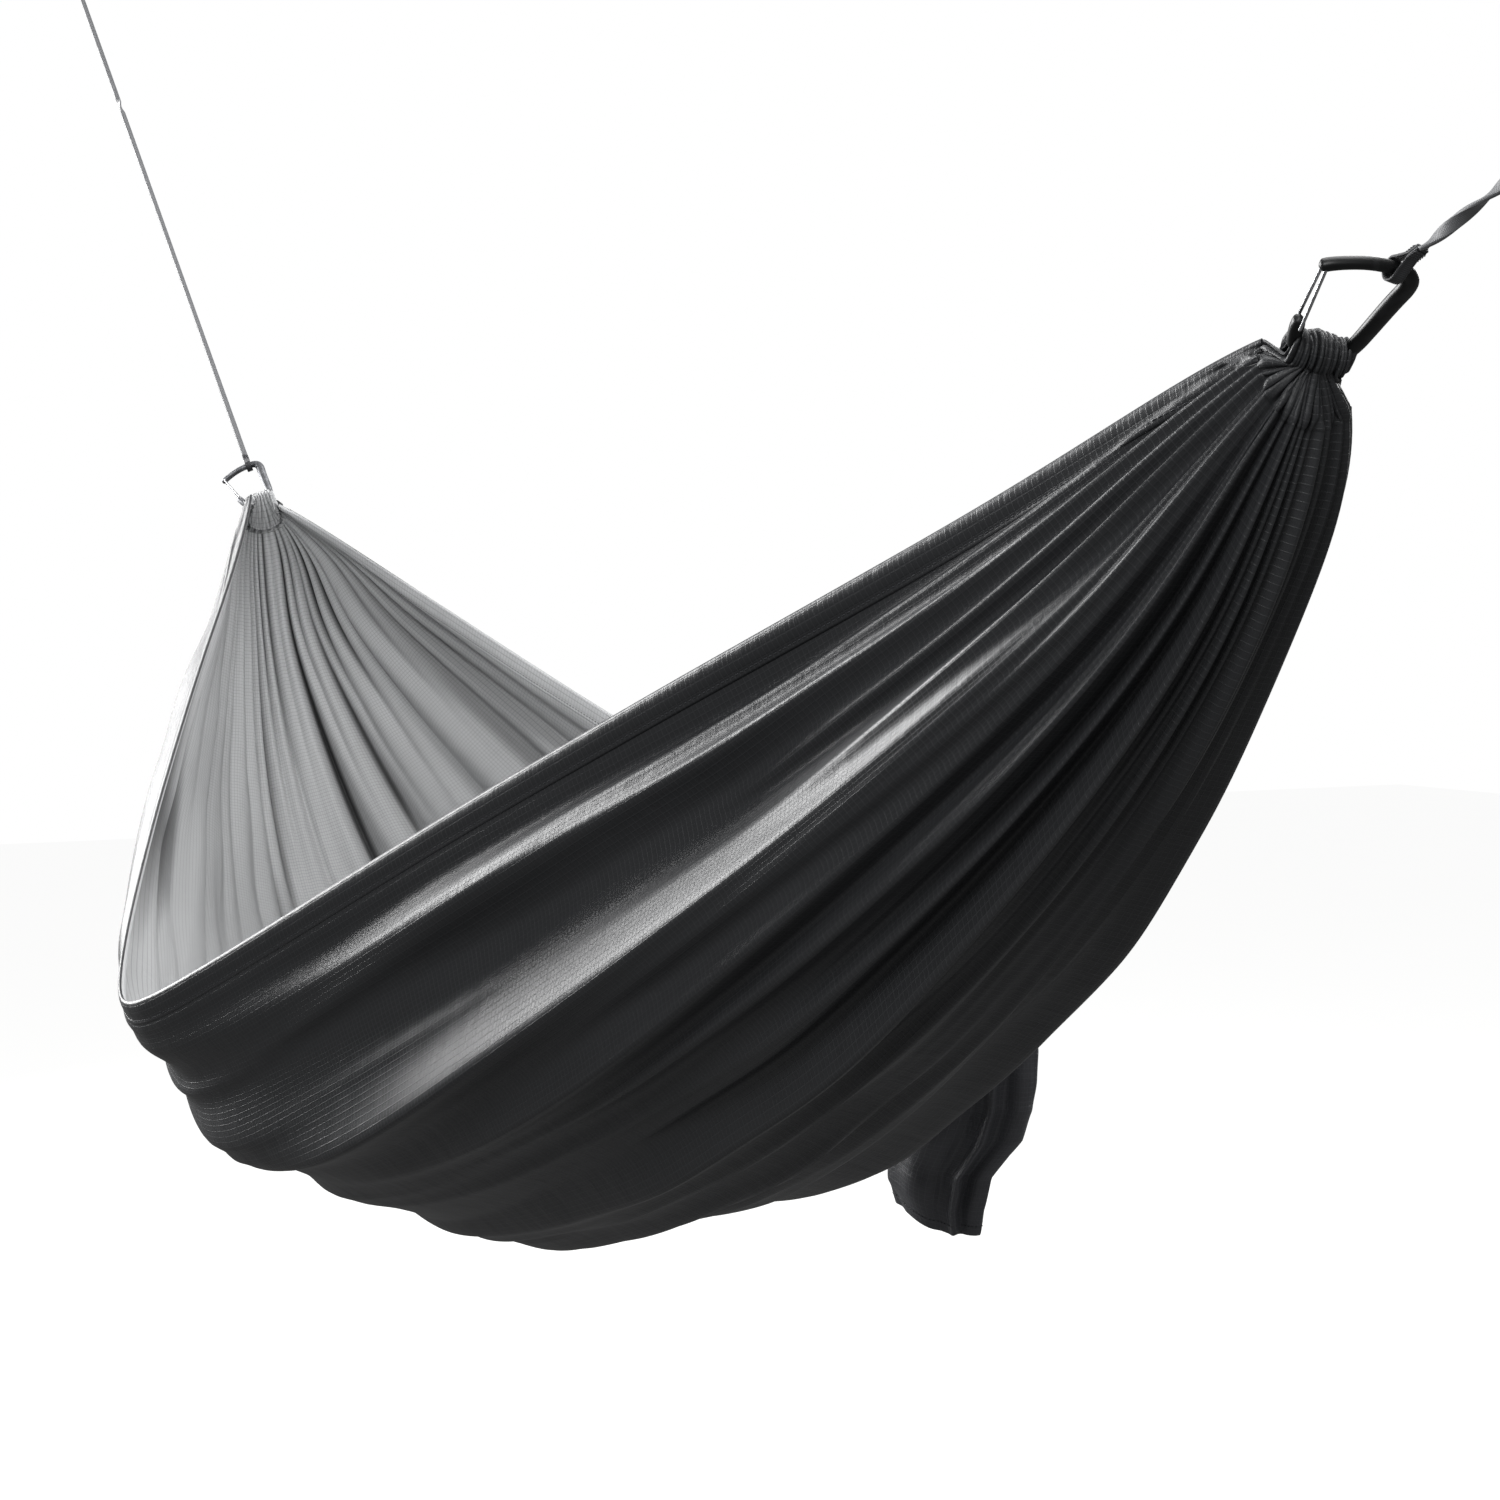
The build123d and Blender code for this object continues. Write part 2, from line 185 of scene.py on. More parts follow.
def ripstop_nylon(name, colour, thread_colour, square, roughness, crinkle, painted_shade_colour):
    """Calendered ripstop nylon: a smooth pressed taffeta with thicker threads in small squares.

    The pressing gives it a satin gloss, the thicker threads a fine raised grid, and packing leaves crinkles
    across the pleats. A point attribute mixes in a darker colour as painted shade, in pleat grooves and low
    down the bed."""
    material, tree, shader = start_material(name, Specular_IOR_Level=0.35)
    cloth = add_node(tree, "ShaderNodeTexCoord").outputs["UV"]
    cell = add_node(tree, "ShaderNodeVectorMath", {0: cloth, 3: 1 / square}, operation="SCALE")
    inside = add_node(tree, "ShaderNodeVectorMath", {0: cell.outputs[0]}, operation="FRACTION")
    centred = add_node(tree, "ShaderNodeVectorMath", {0: inside.outputs[0], 1: (0.5, 0.5, 0.0)},
                       operation="SUBTRACT")
    folded = add_node(tree, "ShaderNodeVectorMath", {0: centred.outputs[0]}, operation="ABSOLUTE")
    axes = add_node(tree, "ShaderNodeSeparateXYZ", {0: folded.outputs[0]})
    edge = add_node(tree, "ShaderNodeMath", {0: axes.outputs["X"], 1: axes.outputs["Y"]}, operation="MAXIMUM")
    grid = add_node(tree, "ShaderNodeMapRange", {"Value": edge.outputs[0], "From Min": 0.40,
                                                "From Max": 0.47}, interpolation_type="SMOOTHSTEP")
    broad = add_node(tree, "ShaderNodeTexNoise", {"Vector": cloth, "Scale": 5.0, "Detail": 4.0})
    tint = add_node(tree, "ShaderNodeMapRange", {"Value": broad.outputs["Fac"], "To Min": 0.0,
                                                "To Max": 0.45})
    share = add_node(tree, "ShaderNodeMath", {0: grid.outputs[0], 1: tint.outputs[0]}, operation="MAXIMUM")
    paint = add_node(tree, "ShaderNodeMix", {0: share.outputs[0], 6: linear(colour),
                                           7: linear(thread_colour)}, data_type="RGBA")
    # Painted shade: a darker colour is mixed in where a point attribute marks pleat grooves and the low bed.
    weave_bands_and_painted_shade = add_node(tree, "ShaderNodeAttribute", attribute_name="weave_bands_and_painted_shade")
    paint_with_painted_shade = add_node(tree, "ShaderNodeMix", {0: weave_bands_and_painted_shade.outputs["Fac"], 6: paint.outputs[2],
                                                    7: linear(painted_shade_colour)}, data_type="RGBA")
    tree.links.new(paint_with_painted_shade.outputs[2], shader.inputs["Base Color"])
    rough = add_node(tree, "ShaderNodeMapRange", {"Value": broad.outputs["Fac"], "To Min": roughness - 0.06,
                                                  "To Max": roughness + 0.08})
    tree.links.new(rough.outputs[0], shader.inputs["Roughness"])
    across = add_node(tree, "ShaderNodeVectorMath", {0: cloth, 1: (46.0, 17.0, 1.0)}, operation="MULTIPLY")
    creases = add_node(tree, "ShaderNodeTexNoise", {"Vector": across.outputs[0], "Scale": 1.0, "Detail": 5.0,
                                                    "Roughness": 0.55})
    weave = add_node(tree, "ShaderNodeTexNoise", {"Vector": cloth, "Scale": 900.0, "Detail": 1.0})
    crinkled = add_node(tree, "ShaderNodeBump", {"Height": creases.outputs["Fac"], "Strength": 1.0,
                                                 "Distance": crinkle})
    woven = add_node(tree, "ShaderNodeBump", {"Height": weave.outputs["Fac"], "Strength": 0.5,
                                              "Distance": 0.0002, "Normal": crinkled.outputs[0]})
    raised = add_node(tree, "ShaderNodeBump", {"Height": grid.outputs[0], "Strength": 0.6,
                                               "Distance": 0.00025, "Normal": woven.outputs[0]})
    tree.links.new(raised.outputs[0], shader.inputs["Normal"])
    return material


def polyester_webbing(name, colour, rib_colour, rib):
    """Flat polyester webbing: ribs across the band at the weft's spacing, dull with bright filaments."""
    material, tree, shader = start_material(name, Roughness=0.55, Specular_IOR_Level=0.5, Sheen_Weight=0.2,
                                            Sheen_Roughness=0.35)
    cloth = add_node(tree, "ShaderNodeTexCoord").outputs["UV"]
    ribs = add_node(tree, "ShaderNodeTexWave", {"Vector": cloth, "Scale": WAVE_PITCH / rib, "Distortion": 0.6,
                                                "Detail": 1.0}, bands_direction="X")
    weave_bands_and_painted_shade = add_node(tree, "ShaderNodeTexWave", {"Vector": cloth, "Scale": WAVE_PITCH / (1.6 * rib)},
                     bands_direction="Y")
    both = add_node(tree, "ShaderNodeMath", {0: ribs.outputs["Fac"], 1: weave_bands_and_painted_shade.outputs["Fac"]},
                    operation="MULTIPLY")
    paint = add_node(tree, "ShaderNodeMix", {0: both.outputs[0], 6: linear(colour), 7: linear(rib_colour)},
                     data_type="RGBA")
    tree.links.new(paint.outputs[2], shader.inputs["Base Color"])
    raised = add_node(tree, "ShaderNodeBump", {"Height": both.outputs[0], "Strength": 0.4,
                                               "Distance": 0.0003})
    tree.links.new(raised.outputs[0], shader.inputs["Normal"])
    return material


def braided_cord(name, colour, fleck_colour, pitch):
    """Braided accessory cord: black strands with a pale tracer that comes up once in each pitch."""
    material, tree, shader = start_material(name, Roughness=0.6, Sheen_Weight=0.25, Sheen_Roughness=0.4)
    along = add_node(tree, "ShaderNodeTexCoord").outputs["UV"]
    flecks = add_node(tree, "ShaderNodeTexVoronoi", {"Vector": along, "Scale": 1 / pitch, "Randomness": 0.7})
    mask = add_node(tree, "ShaderNodeMapRange", {"Value": flecks.outputs["Distance"], "From Min": 0.16,
                                                 "From Max": 0.24, "To Min": 1.0, "To Max": 0.0})
    paint = add_node(tree, "ShaderNodeMix", {0: mask.outputs[0], 6: linear(colour), 7: linear(fleck_colour)},
                     data_type="RGBA")
    tree.links.new(paint.outputs[2], shader.inputs["Base Color"])
    strands = add_node(tree, "ShaderNodeTexNoise", {"Vector": along, "Scale": 2200.0, "Detail": 2.0})
    raised = add_node(tree, "ShaderNodeBump", {"Height": strands.outputs["Fac"], "Strength": 0.5,
                                               "Distance": 0.0002})
    tree.links.new(raised.outputs[0], shader.inputs["Normal"])
    return material


def worked_metal(name, colour, worn_colour, roughness, metallic, grain):
    """Forged or drawn metal, tumbled: fine grain in the gloss, and patches rubbed lighter."""
    material, tree, shader = start_material(name, Metallic=metallic)
    place = add_node(tree, "ShaderNodeTexCoord").outputs["Object"]
    patches = add_node(tree, "ShaderNodeTexNoise", {"Vector": place, "Scale": 90.0, "Detail": 5.0})
    wear = add_node(tree, "ShaderNodeMapRange", {"Value": patches.outputs["Fac"], "From Min": 0.52,
                                                 "From Max": 0.72, "To Max": 0.7})
    paint = add_node(tree, "ShaderNodeMix", {0: wear.outputs[0], 6: linear(colour), 7: linear(worn_colour)},
                     data_type="RGBA")
    tree.links.new(paint.outputs[2], shader.inputs["Base Color"])
    rough = add_node(tree, "ShaderNodeMapRange", {"Value": patches.outputs["Fac"], "To Min": roughness - 0.08,
                                                  "To Max": roughness + 0.12})
    tree.links.new(rough.outputs[0], shader.inputs["Roughness"])
    grit = add_node(tree, "ShaderNodeTexNoise", {"Vector": place, "Scale": 1 / grain, "Detail": 2.0})
    raised = add_node(tree, "ShaderNodeBump", {"Height": grit.outputs["Fac"], "Strength": 0.35,
                                               "Distance": 0.00012})
    tree.links.new(raised.outputs[0], shader.inputs["Normal"])
    return material


def bonded_thread(name, colour):
    """Bonded polyester sewing thread: a tight, slightly waxy twist."""
    material, tree, shader = start_material(name, Roughness=0.45, Specular_IOR_Level=0.5)
    place = add_node(tree, "ShaderNodeTexCoord").outputs["Object"]
    twist = add_node(tree, "ShaderNodeTexNoise", {"Vector": place, "Scale": 1500.0, "Detail": 2.0})
    paint = add_node(tree, "ShaderNodeMix", {0: twist.outputs["Fac"], 6: linear(colour),
                                             7: linear("#55565a")}, data_type="RGBA")
    tree.links.new(paint.outputs[2], shader.inputs["Base Color"])
    return material


def studio_paper(name, colour):
    """Matt background paper, with the faintest mottling."""
    material, tree, shader = start_material(name, Roughness=0.9, Specular_IOR_Level=0.2,
                                            Emission_Color=(1.0, 1.0, 1.0, 1.0), Emission_Strength=0.90)
    place = add_node(tree, "ShaderNodeTexCoord").outputs["Object"]
    mottle = add_node(tree, "ShaderNodeTexNoise", {"Vector": place, "Scale": 3.0, "Detail": 3.0})
    paint = add_node(tree, "ShaderNodeMix", {0: mottle.outputs["Fac"], 6: linear(colour),
                                             7: linear("#8a8a88")}, data_type="RGBA")
    tree.links.new(paint.outputs[2], shader.inputs["Base Color"])
    return material


MATERIALS = {}


def material(key):
    """The finished material of that key, made once."""
    cloth = bpy.context.scene.hammock_cloth
    makers = {
        # Each nylon's last colour is its painted shade, for pleat grooves and the low part of the bed.
        "outside": lambda: ripstop_nylon("ripstop_nylon_outside", cloth.outside, "#3a3b3d", cloth.square,
                                         0.44, 0.0014, "#1a1b1c"),
        # The inside's pale colour is partly painted light: light that comes through and falls on the thin nylon.
        "inside": lambda: ripstop_nylon("ripstop_nylon_inside_with_painted_light", cloth.inside, "#a3a4a5", cloth.square,
                                        0.55, 0.0016, "#2c2c2d"),
        "sack": lambda: ripstop_nylon("ripstop_nylon_sack", "#505155", "#5c5d61", cloth.square, 0.42, 0.0020,
                                      "#505155"),
        "webbing": lambda: polyester_webbing("polyester_webbing", "#5c5d5f", "#6c6d70", 0.0011),
        "loop": lambda: polyester_webbing("polyester_webbing_loop", "#222326", "#3a3b3e", 0.0011),
        "ribbon": lambda: polyester_webbing("grosgrain_ribbon", "#121214", "#2c2d30", 0.0008),
        "drawcord": lambda: braided_cord("braided_accessory_cord", "#121213", "#d8d8d6", 0.0052),
        "anodised": lambda: worked_metal("black_anodised_aluminium", "#0c0d0e", "#2c2d2f", 0.38, 0.35,
                                         0.0004),
        # Painted light: the foot carabiner, taken to be the same metal as the black head one, is drawn pale as
        # lit.
        "aluminium": lambda: worked_metal("tumbled_aluminium_painted_light", "#6c6d70", "#a2a3a6", 0.46, 0.9, 0.0004),
        "steel": lambda: worked_metal("drawn_stainless_wire", "#a9aaac", "#d4d5d6", 0.26, 1.0, 0.0003),
        "thread": lambda: bonded_thread("bonded_polyester_thread", "#26272a"),
    }
    if key not in MATERIALS:
        MATERIALS[key] = makers[key]()
    return MATERIALS[key]


# ---------------------------------------------------------------- surfaces
def unit(vectors):
    return vectors / np.maximum(np.linalg.norm(vectors, axis=-1, keepdims=True), 1e-12)


def smooth_step(value, low, high):
    t = np.clip((value - low) / (high - low), 0, 1)
    return t * t * (3 - 2 * t)


def surface(name, points, uv, finish, around=False, along=False, weave_bands_and_painted_shade=None):
    """A mesh from a grid of points, rows along and columns across.

    Each cell of four neighbouring points is one face; around closes the columns and along closes the rows.
    uv is a grid one cell larger in each closed direction, and the last argument an optional value at each
    point: the painted shade, kept as a point attribute."""
    rows, columns = points.shape[:2]
    index = np.arange(rows * columns).reshape(rows, columns)
    if around:
        index = np.hstack([index, index[:, :1]])
    if along:
        index = np.vstack([index, index[:1]])
    order = np.arange(index.size).reshape(index.shape)
    corners = [(slice(None, -1), slice(None, -1)), (slice(1, None), slice(None, -1)),
               (slice(1, None), slice(1, None)), (slice(None, -1), slice(1, None))]
    quads = np.stack([index[c] for c in corners], axis=-1).reshape(-1, 4)
    places = np.stack([order[c] for c in corners], axis=-1).reshape(-1)
    mesh = bpy.data.meshes.new(name)
    mesh.vertices.add(rows * columns)
    mesh.vertices.foreach_set("co", points.astype(np.float32).ravel())
    mesh.loops.add(quads.size)
    mesh.loops.foreach_set("vertex_index", quads.ravel().astype(np.int32))
    mesh.polygons.add(len(quads))
    mesh.polygons.foreach_set("loop_start", np.arange(0, quads.size, 4, dtype=np.int32))
    mesh.polygons.foreach_set("use_smooth", np.ones(len(quads), dtype=bool))
    layer = mesh.uv_layers.new(name="Cloth")
    layer.uv.foreach_set("vector", uv.reshape(-1, 2)[places].astype(np.float32).ravel())
    mesh.update(calc_edges=True)
    mesh.validate()
    if weave_bands_and_painted_shade is not None:
        depth = mesh.attributes.new("weave_bands_and_painted_shade", "FLOAT", "POINT")
        depth.data.foreach_set("value", weave_bands_and_painted_shade.astype(np.float32).ravel())
    mesh.materials.append(finish)
    piece = bpy.data.objects.new(name, mesh)
    bpy.context.scene.collection.objects.link(piece)
    return piece


def flat_uv(rows, columns, length, width):
    """Length along the rows and width across the columns, in metres."""
    u, v = np.meshgrid(np.linspace(0, length, rows), np.linspace(0, width, columns), indexing="ij")
    return np.stack([u, v], axis=-1)


def normals(points):
    """Unit normals of a grid: across the columns times along the rows."""
    along = np.gradient(points, axis=0)
    across = np.gradient(points, axis=1)
    return unit(np.cross(across, along))


def lattice_noise(u, v, cells, seed):
    """Smooth noise from -1 to 1: random values on a lattice of cells, joined by smooth steps both ways."""
    nodes = np.random.default_rng(seed).uniform(-1, 1, (cells[0] + 2, cells[1] + 2))
    x, y = np.clip(u, 0, 1) * cells[0], np.clip(v, 0, 1) * cells[1]
    i, j = np.minimum(x.astype(int), cells[0] - 1), np.minimum(y.astype(int), cells[1] - 1)
    a, b = smooth_step(x - i, 0, 1), smooth_step(y - j, 0, 1)
    low = nodes[i, j] * (1 - b) + nodes[i, j + 1] * b
    high = nodes[i + 1, j] * (1 - b) + nodes[i + 1, j + 1] * b
    return low * (1 - a) + high * a


def hermite(start, leave, stop, arrive, count):
    """Rows from start to stop that leave and arrive along the given tangents: the cubic Hermite blend."""
    t = np.linspace(0, 1, count)[:, None, None]
    return ((2 * t ** 3 - 3 * t ** 2 + 1) * start + (t ** 3 - 2 * t ** 2 + t) * leave
            + (3 * t ** 2 - 2 * t ** 3) * stop + (t ** 3 - t ** 2) * arrive)


# ---------------------------------------------------------------- the bed's cloth
CHANNEL_DEPTH = 0.034    # from the fold over the carabiner to the channel's stitch line
BED_ROWS = 336
BED_COLUMNS = 296
THREAD_SAMPLES = 1400    # along each thread, before it is cut into equal steps
ROUNDED_BELLY = 0.05     # rounds the threads off at mid-length, as a share of half the span
NEAR_CROWD = 1.0         # how much the threads crowd towards the hems beside a gather
FAR_CROWD = 2.5
CROWD_REACH = 0.10       # and how far down the cloth they do so
LIFT_REACH = 0.08        # how far down the cloth the near hem is raised


def thread_reach(s, v, cloth):
    """How far a thread hangs from the gather line.

    s is -1 at the head and 1 at the foot, v -1 at the near hem and 1 at the far one. The reach is
    (1 - |s|^power)^fullness times the thread's greatest reach. Power, fullness and greatest reach go from the
    belly's values to the hem's with the square of v, and the head half has its own. The foot half hangs deeper
    by the foot lean, and the bunch radius rounds off the thread at the gathers."""
    share = v * v
    near = v < 0
    greatest = cloth.belly_reach * (1 - share) + np.where(near, cloth.near_reach, cloth.far_reach) * share
    head_half = smooth_step(-s, 0.0, 0.4)
    power = (1.67 + 0.04 * head_half) * (1 - share) + np.where(near, 1.05 - 0.03 * head_half, 1.57) * share
    hem_fullness = np.where(near, 1.06 + 0.02 * head_half, 1.31)
    fullness = (0.525 + 0.045 * head_half) * (1 - share) + hem_fullness * share
    along = np.minimum(np.sqrt(s * s + ROUNDED_BELLY ** 2), 1.0)
    drop = greatest * (1 - along ** power) ** fullness * (1 + cloth.foot_lean * s)
    return np.sqrt(drop ** 2 + cloth.bunch_radius ** 2)


def bed_point(s, v, cloth):
    """A point of the unpleated bed: the thread's reach, at the thread's angle from straight down.

    The angle goes with 1 - (1 - |v|)^crowd, where crowd is 1 along the bed and rises close to each gather, so
    the threads crowd outwards there. The near hem rises to the level of the basket."""
    reach = thread_reach(s, v, cloth)
    crowd = 1 + np.where(v < 0, NEAR_CROWD, FAR_CROWD) * np.exp(-(reach / CROWD_REACH) ** 2)
    angle = np.where(v < 0, cloth.near_angle, cloth.far_angle) * np.sign(v) * (1 - (1 - np.abs(v)) ** crowd)
    lifted = HEM_LIFT * smooth_step(-v, 0.3, 1.0) * np.exp(-(reach / LIFT_REACH) ** 2)
    x = MID_X - s * HALF_SPAN + 0 * reach
    return np.stack([x, reach * np.sin(angle), GATHER_Z + lifted - reach * np.cos(angle)], axis=-1)


def thread_grid(rows, columns, cloth):
    """The unpleated bed as threads from hem to hem, each cut into equal steps of its own length.

    Returns the points, each thread's v, and the distances along the thread from the head and foot gathers."""
    v = np.linspace(-1, 1, columns)
    s = np.sin(np.linspace(-pi / 2, pi / 2, THREAD_SAMPLES))
    fine = bed_point(s[:, None], v[None, :], cloth)
    run = np.cumsum(np.linalg.norm(np.diff(fine, axis=0, prepend=fine[:1]), axis=2), axis=0)
    want = CHANNEL_DEPTH + np.linspace(0, 1, rows)[:, None] * (run[-1] - 2 * CHANNEL_DEPTH)
    points = np.stack([np.stack([np.interp(want[:, j], run[:, j], fine[:, j, k]) for k in range(3)], axis=-1)
                       for j in range(columns)], axis=1)
    return points, v[None, :] + 0 * want, want, run[-1] - want


PLEAT_SPACING = 0.027    # pleats further apart than this grow no deeper
PLEAT_LIVES = [0.35, 0.5, 0.75, 1.0, 1.3]


def pleat_family(v, distance, girth, count, seed):
    """Pleats that fan out from one gather and die away along the cloth.

    Each pleat is a ridge exp(-|x|^1.35) across the cloth, x being the distance from its crest over its width.
    Its crest drifts sideways and it widens with the distance from the gather. Its height is a share of the
    pleats' spacing, up to a limit, and falls as exp(-(distance / life)^2)."""
    random = np.random.default_rng(seed)
    spacing = np.minimum(girth / count, PLEAT_SPACING)
    relief = np.zeros_like(v)
    for i in range(count):
        crest = -0.97 + 1.94 * (i + 0.5 + random.uniform(-0.3, 0.3)) / count
        drift = random.uniform(-0.08, 0.08)
        life = random.choice(PLEAT_LIVES)
        height = random.uniform(0.6, 1.3)
        width = random.uniform(0.42, 0.85) / count
        x = (v - crest - drift * (distance / 1.3) ** 1.5) / (width * (1 + 0.8 * distance))
        relief += height * spacing * np.exp(-(distance / life) ** 2) * np.exp(-np.abs(x) ** 1.35)
    return relief


# Broad folds of the bed: crest at the head, at mid-length and at the foot (as v), half width, height, and the
# shares of the thread where the fold begins and ends. A dent has a height below zero.
BROAD_FOLDS = (
    (-0.945, -0.955, -0.94, 0.018, 0.006, 0.0, 1.0),
    (-0.87, -0.860, -0.88, 0.026, 0.006, 0.0, 0.50),
    (-0.79, -0.785, -0.80, 0.024, 0.012, 0.0, 0.30),
    (-0.66, -0.645, -0.70, 0.052, 0.046, 0.05, 0.58),
    (-0.55, -0.515, -0.56, 0.042, 0.044, 0.0, 0.50),
    (-0.43, -0.40, -0.48, 0.024, 0.017, 0.0, 0.34),
    (-0.82, -0.83, -0.84, 0.070, -0.013, 0.22, 0.68),
    (-0.90, -0.90, -0.89, 0.070, 0.030, 0.52, 1.0),
    (-0.70, -0.71, -0.76, 0.060, 0.018, 0.40, 0.92),
    (-0.36, -0.34, -0.40, 0.026, 0.018, 0.0, 0.42),
    (-0.25, -0.26, -0.30, 0.030, 0.020, 0.0, 0.44),
    (-0.12, -0.16, -0.20, 0.030, 0.018, 0.0, 0.52),
    (0.03, -0.06, -0.15, 0.034, 0.020, 0.0, 0.70),
    (0.15, 0.12, 0.08, 0.034, 0.017, 0.0, 0.60),
    (0.28, 0.26, 0.20, 0.040, 0.018, 0.0, 1.0),
    (0.45, 0.40, 0.36, 0.044, 0.020, 0.0, 1.0),
    (0.62, 0.60, 0.54, 0.044, 0.020, 0.0, 1.0),
    (0.80, 0.77, 0.72, 0.040, 0.018, 0.0, 1.0),
    (0.91, 0.90, 0.90, 0.026, 0.010, 0.0, 1.0),
    (-0.42, -0.50, -0.45, 0.060, 0.007, 0.55, 1.0),
)


GENTLE_SIDE = 0.8        # a broad fold is drawn out on its near side and steep on the other
STEEP_SIDE = 1.3


def short_creases(v, share, count, height, seed):
    """Creases that start and end within the cloth: ridges exp(-|x|^1.5) that fade to both ends."""
    random = np.random.default_rng(seed)
    relief = np.zeros_like(v)
    for _ in range(count):
        crest, place = random.uniform(-0.9, 0.9), random.uniform(0.12, 0.88)
        slant, length = random.uniform(-0.5, 0.5), random.uniform(0.06, 0.22)
        width, tall = random.uniform(0.012, 0.032), height * random.uniform(-0.6, 1.0)
        x = (v - crest - slant * (share - place)) / width
        relief += tall * np.exp(-((share - place) / length) ** 2) * np.exp(-np.abs(x) ** 1.5)
    return relief


def bed_relief(v, from_head, from_foot, girth, cloth):
    """How far the cloth stands out from the unpleated bed: two families of pleats, the broad folds as ridges
    exp(-|x|^1.5), gentle on the near side and steep on the other, whose height goes with the bed's girth,
    short creases, and drifting dents of lattice noise. Its crests stay close to the unpleated bed, and it is
    flat at the hems."""
    relief = pleat_family(v, from_head, girth, cloth.head_pleats, RNG_SEED)
    relief += pleat_family(v, from_foot, girth, cloth.foot_pleats, RNG_SEED + 1)
    share = from_head / (from_head + from_foot)
    at_head, at_mid, at_foot = (1 - share) * (1 - 2 * share), 4 * share * (1 - share), share * (2 * share - 1)
    for head, mid, foot, width, height, begin, end in BROAD_FOLDS:
        crest = head * at_head + mid * at_mid + foot * at_foot
        life = smooth_step(share, begin - 0.04, begin + 0.08) * smooth_step(end - share, 0.0, 0.24)
        x = (v - crest) / width * np.where(v < crest, GENTLE_SIDE, STEEP_SIDE)
        relief += height * life * girth / girth.max() * np.exp(-np.abs(x) ** 1.5)
    half = v / 2 + 0.5
    body = smooth_step(from_head, 0.08, 0.55) * smooth_step(from_foot, 0.08, 0.55)
    relief += 0.011 * body * lattice_noise(share, half, (5, 9), RNG_SEED + 2)
    relief += 0.004 * body * lattice_noise(share + 0.15 * half, half, (18, 22), RNG_SEED + 3)
    relief += body * short_creases(v, share, 60, 0.005, RNG_SEED + 4)
    relief -= 1.5 * relief.mean(axis=1, keepdims=True)
    return relief * (0.1 + 0.9 * smooth_step(1 - np.abs(v), 0.0, 0.08))


def pleated_bed(cloth):
    """The pleated bed's points, outward normals, v, the two distances and the painted shade: the unpleated grid
    moved out along its normals by the relief. The painted shade goes from 0 on lit cloth to 1 deep in a pleat's
    groove near the gathers, and rises down the bed, where the near side shades the inside."""
    points, v, from_head, from_foot = thread_grid(BED_ROWS, BED_COLUMNS, cloth)
    outward = normals(points)
    outward *= np.sign(outward[BED_ROWS // 2, BED_COLUMNS // 2] @ np.array((0, 0, -1.0)))
    girth = np.linalg.norm(np.diff(points, axis=1), axis=2).sum(axis=1)[:, None]
    relief = bed_relief(v, from_head, from_foot, girth, cloth)
    points = points + relief[..., None] * outward
    outward = normals(points)
    outward *= np.sign(outward[BED_ROWS // 2, BED_COLUMNS // 2] @ np.array((0, 0, -1.0)))
    # Painted shade for the inside: darker in pleat grooves near the gathers, and darker low down the bed.
    near_end = 1 - smooth_step(np.minimum(from_head, from_foot), 0.6, 1.2)
    spacing = np.minimum(girth / cloth.foot_pleats, PLEAT_SPACING)
    groove_shade = near_end * smooth_step(relief / spacing, -0.3, 0.25) * (1 - 0.6 * smooth_step(v, 0.55, 0.85))
    low_shade = 0.42 * smooth_step(GATHER_Z - points[..., 2], 0.12, 0.60)
    weave_bands_and_painted_shade = np.maximum(groove_shade, low_shade)
    return points, outward, v, from_head, from_foot, weave_bands_and_painted_shade


def bed_cloth():
    if "bed" not in SHARED:
        SHARED["bed"] = pleated_bed(bpy.context.scene.hammock_cloth)
    return SHARED["bed"]


SHARED = {}


class HAMMOCK_OT_bed(bpy.types.Operator):
    """Builds the bed's cloth: its glossy outside and its paler inside, whose paleness is partly painted light."""

    bl_idname = "hammock.bed"
    bl_label = "Bed cloth"

    def execute(self, context):
        cloth = context.scene.hammock_cloth
        points, outward, *_, weave_bands_and_painted_shade = bed_cloth()
        uv = flat_uv(BED_ROWS, BED_COLUMNS, cloth.flat_length, cloth.flat_width)
        half = cloth.thickness / 2
        outer = surface("bed_outside", points + half * outward, uv, material("outside"))
        inner = surface("bed_inside", (points - half * outward)[:, ::-1], uv, material("inside"),
                        weave_bands_and_painted_shade=weave_bands_and_painted_shade[:, ::-1])
        for piece in (outer, inner):
            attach(piece, "bed")
        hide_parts("bed_sheet")
        return {"FINISHED"}


# ---------------------------------------------------------------- hems
def strip_at(points, outward, side, insets):
    """The cloth at given distances in from one hem, measured along the cloth across each row."""
    step = -1 if side > 0 else 1
    rows, out = points[:, ::step], outward[:, ::step]
    reach = np.cumsum(np.linalg.norm(np.diff(rows, axis=1, prepend=rows[:, :1]), axis=2), axis=1)
    pick = np.stack([[np.interp(insets, reach[i], rows[i, :, k]) for k in range(3)]
                     for i in range(len(rows))])
    lean = np.stack([[np.interp(insets, reach[i], out[i, :, k]) for k in range(3)]
                     for i in range(len(rows))])
    return pick.transpose(0, 2, 1), unit(lean.transpose(0, 2, 1))


